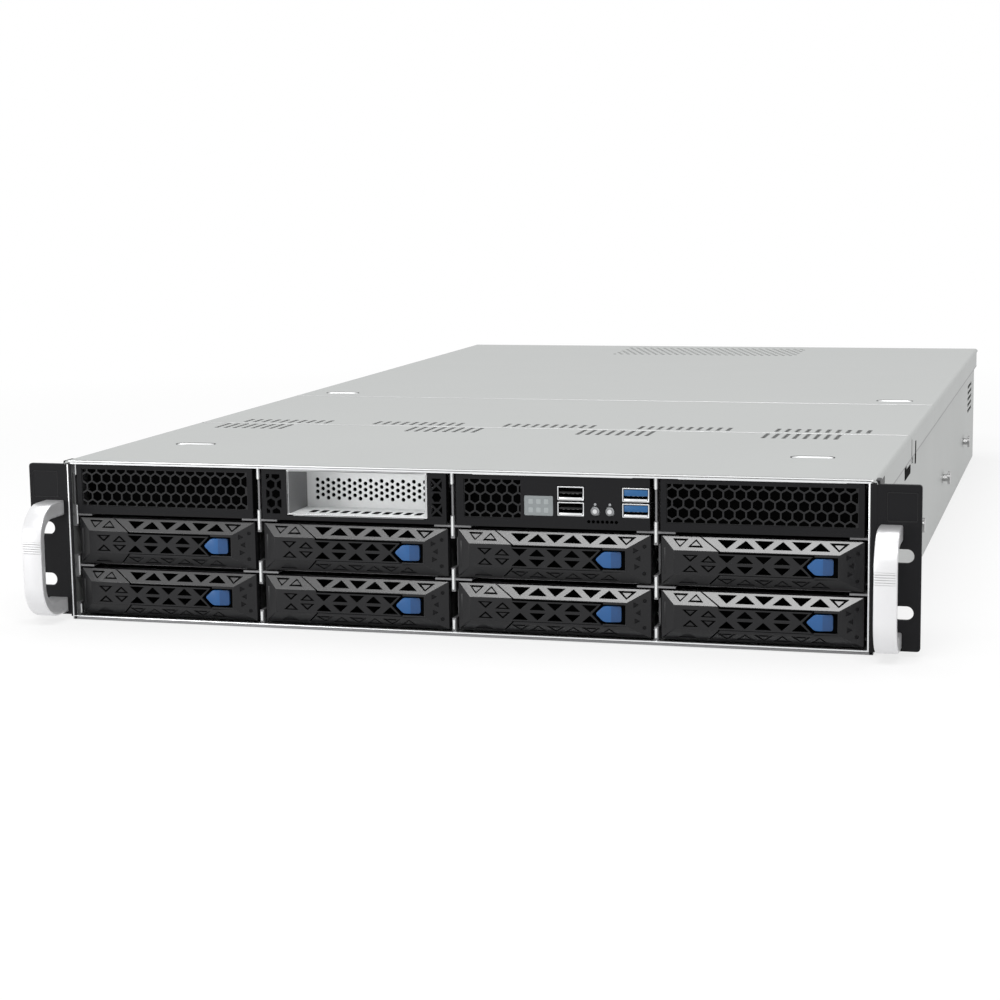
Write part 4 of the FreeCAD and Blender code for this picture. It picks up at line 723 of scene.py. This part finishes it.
def light_window(start, low, high):
    """Grey pane with six raised fields, and its back in painted shade."""
    pane = Build("light_window")
    pane.front([rounded(low.x + 1.1, low.z + 1.1, high.x - 1.1, high.z - 1.1, 0.7)], WINDOW,
               start - 0.05, start + 1.4, 0.2)
    for column in range(3):
        for row in range(2):
            x, z = low.x + 4.6 + column * 4.1, low.z + 4.0 + row * 4.4
            pane.front([rounded(x - 1.2, z - 1.3, x + 1.2, z + 1.3, 0.5)], DOT, start - 0.2, start, 0.08)
    # back in painted shade
    pane.front([rectangle(low.x, low.z, high.x, high.z)], PAINTED_SHADE, start + 1.5, high.y)
    pane.done("chassis", "grey_window", "status_window")


def buttons(start, spots):
    """Round push buttons with a dark ring and a bright middle, and the small lights over them."""
    for name, (x, z) in zip(BUTTONS, spots):
        a, b = corners(name)
        knob = Build(name + "_cap")
        for radius, length, faces, bevel, surface, back in (
                (2.3, b.y - a.y, 40, 0.35, BUTTON, b.y), (1.9, 0.3, 28, 0.08, DARK_STEEL_AND_SHADE, a.y + 0.25),
                (1.2, 0.3, 28, 0.08, TIN, a.y + 0.15), (3.2, 1.2, 40, 0.1, BUTTON, start + 2.7)):
            knob.add(drum(radius, length, faces, bevel), surface, shift(x, back, z) @ FRONTAL)
        knob.done(name, "silver_button", name)
    lights = Build("button_lights")
    for x, z in spots:
        lights.add(drum(0.75, 1.6, 20, 0.2), BUTTON, shift(x, start + 1.2, z + LIGHT_LIFT) @ FRONTAL)
    lights.done("chassis", "grey_window")


# ------------------------ ears and handles

SLOT_SPACING = (465.1, 28.575)       # between the slots of the ears, from the rack standard
SLOT_LOW = 21.8                      # middle of the lower slot
WALL_MIDDLE = 219.0                  # of the sheet between an ear and its side wall
EAR_TOP = 87.8                       # top of the brackets over the ears


def ears():
    """Slotted black ear with a blank outlined field, its flange, corner bracket and pull handle."""
    for side, word in ((-1, "left"), (1, "right")):
        low, high = corners(word + "_ear")
        inner, tip = (high.x, low.x) if side < 0 else (low.x, high.x)
        middle = side * SLOT_SPACING[0] / 2
        slots = [rounded(middle - 5.25, up - 3.5, middle + 5.25, up + 3.5, 3.45, 8)
                 for up in (SLOT_LOW, SLOT_LOW + SLOT_SPACING[1])]
        build = Build(word + "_ear_plate")
        left, right = sorted((tip - side * 2.0, tip - side * 17.0))
        field = rounded(left, 67.5, right, 82, 0.9)
        inset = rounded(left + 0.35, 67.85, right - 0.35, 81.65, 0.7)
        build.front([rounded(low.x, low.z, high.x, high.z, 1.6), field] + slots, BLACK_PAINT_AND_SHADE,
                    low.y, low.y + 2.5, 0.3)
        build.front([field, inset], WEB, low.y + 0.05, low.y + 0.5, 0.05)
        build.front([inset], PANEL, low.y + 0.25, low.y + 2.2, 0.05)
        wall = side * WALL_MIDDLE
        build.block((wall - 0.75, 0, low.z), (wall + 0.75, high.y, high.z), BLACK_PAINT_AND_SHADE, 0.3)
        left, right = sorted((inner - side * 1.0, inner + side * 1.2))
        build.block((left, low.y - 0.1, low.z - 1.0), (right, low.y + 1.2, high.z + 0.6), BLACK_PAINT_AND_SHADE, 0.2)
        left, right = sorted((inner - side * 0.1, inner + side * 2.4))
        build.block((left, low.y + 0.2, high.z - 2.5), (right, 8.0, EAR_TOP), BLACK_PAINT_AND_SHADE, 0.5)
        build.done("chassis", "black_ear", word + "_ear")
        handle(word)


def handle(word):
    """Strap bent to a bow, with wide rounds, thicker feet and fine grooves in painted shade a little above
    its middle.
    """
    low, high = corners(word + "_handle")
    low.z, high.z = low.z + 1.0, high.z + 1.4
    grip, leg, outer, inner = 4.6, 8.0, 18.0, 10.0
    middle, sunk = (low.z + high.z) / 2, 0.3
    groove_low, groove_high = middle + 5.8, middle + 12.2
    profile = [(high.y, high.z)]
    profile += corner_arc(low.y + outer, high.z - outer, outer, 0.25, 0.5)
    profile += [(low.y, groove_high), (low.y + sunk, groove_high), (low.y + sunk, groove_low),
                (low.y, groove_low)]
    profile += corner_arc(low.y + outer, low.z + outer, outer, 0.5, 0.75)
    profile += [(high.y, low.z), (high.y, low.z + leg)]
    profile += corner_arc(low.y + grip + inner, low.z + leg + inner, inner, 0.75, 0.5)
    profile += corner_arc(low.y + grip + inner, high.z - leg - inner, inner, 0.5, 0.25)
    profile += [(high.y, high.z - leg)]
    build = Build(word + "_grip")
    build.upright([profile], SILVER, low.x, high.x, 0.8)
    # floor of the grooves in painted shade
    build.block((low.x + 0.7, low.y + sunk, groove_low), (high.x - 0.7, low.y + 1.0, groove_high),
                GROOVE_PAINTED_SHADE)
    pitch = (groove_high - groove_low) / 5
    for k in range(5):
        foot = groove_low + k * pitch
        build.block((low.x + 0.3, low.y + 0.02, foot + 0.2), (high.x - 0.3, low.y + 1.2, foot + pitch - 0.2),
                    SILVER, 0.1)
    build.done("chassis", "satin_silver", word + "_handle")


def corner_arc(across, up, radius, start, end, steps=9):
    """Points along an arc, from one share of a turn to another."""
    turns = [math.tau * (start + (end - start) * step / steps) for step in range(steps + 1)]
    return [(across + radius * math.cos(turn), up + radius * math.sin(turn)) for turn in turns]


# ------------------------ covers

VENT_COLUMN, VENT_HOLE = 5.9, 1.5    # pitch and radius of the vent holes
FRONT_VENTS, FRONT_VENT_Y = (-198, -76, 29, 138), 158
MIDDLE_VENTS, MIDDLE_VENT_Y = (-192, -107, -24, 59, 141), 190
REAR_VENTS = (-73, 712)              # first hole of the rear field
FLANGE_END = 783.5


def vent_group(left, low, columns=8, rows=6, row_pitch=3.9, stagger=0.0):
    """Rows of small round holes in straight columns, or with every other row moved aside."""
    return [ring(left + (column + stagger * (row % 2)) * VENT_COLUMN, low + row * row_pitch, VENT_HOLE, 10)
            for row in range(rows) for column in range(columns)]


def dimple_outline(x, y, inset=0.0):
    return rounded(x - 12 + inset, y - 5.5 + inset, x + 12 - inset, y + 5.5 - inset, 5.4 - inset, 8)


def dimple(build, x, y, top):
    """Finger dimple: a pressed oval cup with a rim in painted shade and sloping walls with a painted
    highlight. Returns its outline.
    """
    levels = ((0.0, 0.0), (0.9, 0.1), (1.7, 0.8), (1.8, 0.85))
    # rim in painted shade, sloping wall in painted highlight, floor in the cover steel
    for surface, pair in zip((PAINTED_SHADE, HIGHLIGHT_STEEL, STEEL), zip(levels, levels[1:])):
        form, rows = bmesh.new(), []
        for inset, depth in pair:
            rows.append([form.verts.new((across * MM, along * MM, (top - depth) * MM))
                         for across, along in dimple_outline(x, y, inset)])
        for k in range(len(rows[0])):
            after = (k + 1) % len(rows[0])
            form.faces.new((rows[0][k], rows[0][after], rows[1][after], rows[1][k]))
        if surface is STEEL:
            form.faces.new(rows[1])
        bmesh.ops.recalc_face_normals(form, faces=form.faces[:])
        for face in form.faces:
            if face.normal.z < 0:
                face.normal_flip()
        build.add(as_mesh(form), surface)
    return dimple_outline(x, y)


def cover(name, node, groups, dimples, flange_start):
    """Sheet cover with rounded bends, flanges, vents, finger dimples and a front edge with a painted
    highlight.
    """
    low, high = corners(node)
    build = Build(name)
    bend, thick, rim = 2.2, 1.2, 0.6
    seam = 0.0 if node == "rear_lid" else 2.4
    outline = rectangle(low.x + bend, low.y + rim, high.x - bend, high.y - seam)
    recesses = [dimple(build, x, y, high.z) for x, y in dimples]
    count = len(build.form.faces)
    build.level([outline] + groups + recesses, STEEL, high.z - thick, high.z)
    shade_walls(build, count, low, high)
    # front edge with a painted highlight
    build.block((low.x + bend, low.y, high.z - thick), (high.x - bend, low.y + rim, high.z), HIGHLIGHT_STEEL, 0.2)
    if seam:
        build.block((low.x + bend, high.y - seam, high.z - thick),
                    (high.x - bend, high.y - 0.1, high.z - 0.1), DARK_STEEL_AND_SHADE)
    for side in (-1, 1):
        edge = high.x if side > 0 else low.x
        outer, inner = [], []
        for step in range(7):
            turn = math.pi / 2 * step / 6
            centre = edge - side * bend
            outer.append((centre + side * bend * math.sin(turn), high.z - bend + bend * math.cos(turn)))
            inner.append((centre + side * (bend - thick) * math.sin(turn),
                          high.z - bend + (bend - thick) * math.cos(turn)))
        section = outer + [(edge, low.z), (edge - side * thick, low.z)] + inner[::-1]
        start, end = max(low.y, flange_start), min(high.y, FLANGE_END)
        build.add(plate([section], end - start), STEEL, shift(y=(start + end) / 2) @ FRONTAL)
        # painted shadow along the foot of the flange
        left, right = sorted((edge - side * (thick + 0.03), edge + side * 0.03))
        build.block((left, start, low.z), (right, end, low.z + 0.7), DARK_STEEL_AND_SHADE)
        for short_start, short_end in ((low.y, start), (end, high.y)):
            if short_end - short_start > 0.5:
                build.add(plate([outer + inner[::-1]], short_end - short_start), STEEL,
                          shift(y=(short_start + short_end) / 2) @ FRONTAL)
    return build


def shade_walls(build, first, low, high):
    """Gives the walls of the vent holes the shade of a deep opening."""
    if PAINTED_SHADE not in build.finishes:
        build.finishes.append(PAINTED_SHADE)
    build.form.faces.ensure_lookup_table()
    for face in build.form.faces[first:]:
        face.normal_update()
        spot = face.calc_center_median() / MM
        inside = low.x + 4 < spot.x < high.x - 4 and low.y + 2 < spot.y < high.y - 2
        if abs(face.normal.z) < 0.5 and inside:
            face.material_index = build.finishes.index(PAINTED_SHADE)


def covers():
    vents = [loop for left in FRONT_VENTS for loop in vent_group(left, FRONT_VENT_Y)]
    build = cover("front_cover", "front_lid", vents, [(-177, 77.5), (177, 77.5)], 30)
    low, high = corners("front_lid")
    # painted highlight along the front nose of the lid
    nose = [(low.y, high.z - 0.6), (low.y + 0.5, high.z), (low.y + 1.6, high.z), (low.y + 1.6, high.z - 1.9),
            (low.y, high.z - 1.9)]
    build.upright([nose], BRIGHT_HIGHLIGHT, low.x + 3.2, high.x - 3.2)
    build.done("front_lid", "zinc_steel", "front_lid")
    vents = [loop for left in MIDDLE_VENTS for loop in vent_group(left, MIDDLE_VENT_Y, 10, 4)]
    build = cover("middle_cover", "middle_lid", vents, [], 0)
    build.done("chassis", "zinc_steel", "middle_lid")
    vents = vent_group(*REAR_VENTS, 26, 9, 8.0, 0.5)
    build = cover("rear_cover", "rear_lid", vents, [(-192, 369.5), (192, 369.5)], 0)
    build.done("rear_lid", "zinc_steel", "rear_lid")


# ------------------------ edges of the chassis


def front_edges():
    """Folded front edges of walls and floor with painted highlights, painted shade strips beside and under
    them, and the posts between the carriers with painted highlights.
    """
    low, high = corners("chassis_base")
    build = Build("front_hems")
    start = low.y
    # painted highlights on the wall hems, with painted shade strips beside them
    for hem, shade, shade_end in ((low.x - 0.3, low.x + 0.75, low.x + 2.2),
                                  (high.x - 3.0, high.x - 1.95, high.x)):
        build.block((hem, start - 0.2, 1.3), (hem + 1.0, start + 1.6, high.z - 0.3), BRIGHT_HIGHLIGHT, 0.4)
        build.block((shade, start - 0.12, 0.1), (shade_end, start + 0.3, high.z - 0.3), BLACK_PAINT_AND_SHADE, 0.05)
    # painted highlight on the floor hem, painted shadow under it
    build.block((low.x + 0.2, start - 0.15, 1.3), (high.x - 2.4, start + 1.6, 2.2), BRIGHT_HIGHLIGHT, 0.4)
    build.block((low.x + 0.2, start - 0.12, 0.1), (high.x - 0.2, start + 0.3, 1.2), DARK_STEEL_AND_SHADE, 0.05)
    # posts between the carriers, with painted highlights
    level = shift(y=corners("drive_cage")[0].y - 0.2) @ FRONTAL
    for middle, half in ((-214.6, 0.4), (-108.0, 0.6), (0.0, 0.6), (108.0, 0.6)):
        for z_low, z_high in ((3.0, 8.2), (24.2, 35.0), (52.6, 63.2), (79.8, 86.1)):
            outline = rounded(middle - half, z_low, middle + half, z_high, half - 0.05)
            build.add(plate([outline], 0.9, 0.2), HIGHLIGHT_STEEL, level)
    build.done("chassis", "zinc_steel")


def side_marks():
    """Notch and short slot in painted shade, and a dark joint line, where the front and the middle cover
    meet.
    """
    low, high = corners("front_lid")
    wall = corners("chassis_base")[1].x
    build = Build("side_openings_painted_shade")
    # the notch and the short slot are painted shade laid on the wall; the joint line between the covers is
    # dark
    notch = [(157, low.z - 0.5), (157, 65.2), (191, 65.2), (191, 70.2), (166, 70.2), (166, low.z - 0.5)]
    for side in (-1, 1):
        left, right = sorted((side * wall, side * (wall + 0.25)))
        build.upright([soften(notch, 1.0, 2)], PAINTED_SHADE, left, right)
        left, right = sorted((side * (high.x - 0.2), side * (high.x + 0.1)))
        build.upright([rectangle(high.y + 0.3, low.z, high.y + 1.5, high.z - 2.4)], PAINTED_SHADE, left, right)
        build.upright([rounded(205, 68.5, 211, 82, 1.4)], PAINTED_SHADE, left, right)
    build.done("chassis", "zinc_steel")


# ------------------------ nodes that stay as they are

# the drive cage is in darkened steel as painted shade
KEPT = {"chassis_base": STEEL, "drive_cage": DARK_STEEL_AND_SHADE, "supply_cage": INNER_STEEL,
        "expansion_cage": INNER_STEEL, "rail_studs": STUD, "drive_backplane": BOARD, "motherboard": BOARD,
        "memory_modules": BOARD, "cpu_heatsinks": HEATSINK, "fan_wall": FAN}
KEPT.update({f"fan_rotor_{k}": FAN for k in range(1, 5)})
for number in (1, 2):
    KEPT.update({f"power_supply_{number}": SUPPLY, f"supply_latch_{number}": BRIGHT_BLUE})


def paint_kept():
    for name, surface in KEPT.items():
        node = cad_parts[name]
        node.data.materials.clear()
        node.data.materials.append(surface)


# ------------------------ stage, light and camera

AMBIENT = 0.45                       # light of the white surroundings on the object
FLOOR_REACH = 30.0                   # metres
SHADOW_REACH = (0.5, 1.3)            # metres from the middle of the object: full shadow, then none
SHADOW_SHARE = 0.72                  # white that is left under the full shadow


def white_backdrop(surface):
    """Plain white to the camera and to mirrors, with a soft share of the shadow close to the object."""
    tree = surface.node_tree
    place = node(tree, "TexCoord", {}).outputs["Object"]
    reach = node(tree, "VectorMath", {0: place}, "LENGTH").outputs["Value"]
    share = node(tree, "MapRange", {"Value": reach, "From Min": SHADOW_REACH[0], "From Max": SHADOW_REACH[1],
                                    "To Min": SHADOW_SHARE, "To Max": 1.0}).outputs["Result"]
    both = node(tree, "Math", {0: straight_rays(tree), 1: share}, "MULTIPLY").outputs[0]
    white = node(tree, "Emission", {"Color": (1, 1, 1, 1)}).outputs["Emission"]
    paper = tree.nodes["Principled BSDF"].outputs["BSDF"]
    mix = node(tree, "MixShader", {"Fac": both, 1: paper, 2: white}).outputs["Shader"]
    feed(tree, tree.nodes["Material Output"], {"Surface": mix})


def straight_rays(tree):
    """One for what the camera sees, straight or in metal or glass. Zero for light that falls on things."""
    path = node(tree, "LightPath", {}).outputs
    total = path["Is Camera Ray"]
    for kind in ("Is Transmission Ray", "Is Glossy Ray"):
        total = node(tree, "Math", {0: total, 1: path[kind]}, "MAXIMUM").outputs[0]
    return total


def stage():
    """A wide pale floor and a white world."""
    mesh = bpy.data.meshes.new("floor")
    mesh.from_pydata([(x * FLOOR_REACH, y * FLOOR_REACH, 0) for x, y in ((-1, -1), (1, -1), (1, 1), (-1, 1))],
                     [], [(0, 1, 2, 3)])
    floor = bpy.data.objects.new("floor", mesh)
    bpy.context.scene.collection.objects.link(floor)
    floor.location = (0, 0.35, -0.0005)
    surface = finish("floor_paper", (0.93, 0.93, 0.93), 0.85, grain=40, bump=0.01, spread=0.005, specular=0.1)
    white_backdrop(surface)
    mesh.materials.append(surface)
    world = bpy.data.worlds.new("studio")
    bpy.context.scene.world = world
    world.use_nodes = True
    tree = world.node_tree
    level = node(tree, "MapRange", {"Value": straight_rays(tree), "To Min": AMBIENT, "To Max": 1.0})
    feed(tree, tree.nodes["Background"], {"Color": (1, 1, 1, 1), "Strength": level.outputs["Result"]})


def lamp(name, place, aim, wide, tall, power):
    """A soft rectangular lamp that faces a point; metres and watts."""
    light = bpy.data.lights.new(name, "AREA")
    light.shape, light.size, light.size_y, light.energy = "RECTANGLE", wide, tall, power
    made = bpy.data.objects.new(name, light)
    bpy.context.scene.collection.objects.link(made)
    made.location = place
    made.rotation_euler = (Vector(aim) - Vector(place)).to_track_quat("-Z", "Y").to_euler()


def lights():
    lamp("front_softbox", (0.20, -1.10, 1.45), (0.0, 0.0, 0.0), 1.5, 0.6, 19)
    lamp("overhead", (-0.2, 1.0, 2.2), (0.0, 0.4, 0.0), 2.2, 1.6, 22)
    lamp("left_fill", (-1.7, -2.0, 0.40), (-0.1, 0.0, 0.05), 1.0, 0.7, 12)


def camera():
    """In front of the object, to its right and above its top, and turned towards it."""
    view = bpy.data.cameras.new("camera")
    view.lens, view.sensor_width = 78.6, 36.0
    view.clip_start, view.clip_end = 0.05, 100
    made = bpy.data.objects.new("camera", view)
    bpy.context.scene.collection.objects.link(made)
    forward = Vector((-0.26841, 0.95180, -0.14843)).normalized()
    right = Vector((0.96293, 0.26942, -0.01368))
    right = (right - forward * right.dot(forward)).normalized()
    up = right.cross(forward)
    turned = Matrix((right, up, -forward)).transposed().to_4x4()
    made.matrix_world = Matrix.Translation((0.329, -1.0745, 0.240)) @ turned
    bpy.context.scene.camera = made


carriers()
grilles()
slot_bay()
slot_shell()
operator_panel()
ears()
covers()
front_edges()
side_marks()
paint_kept()
stage()
lights()
camera()
bpy.context.scene.view_settings.view_transform = "Standard"
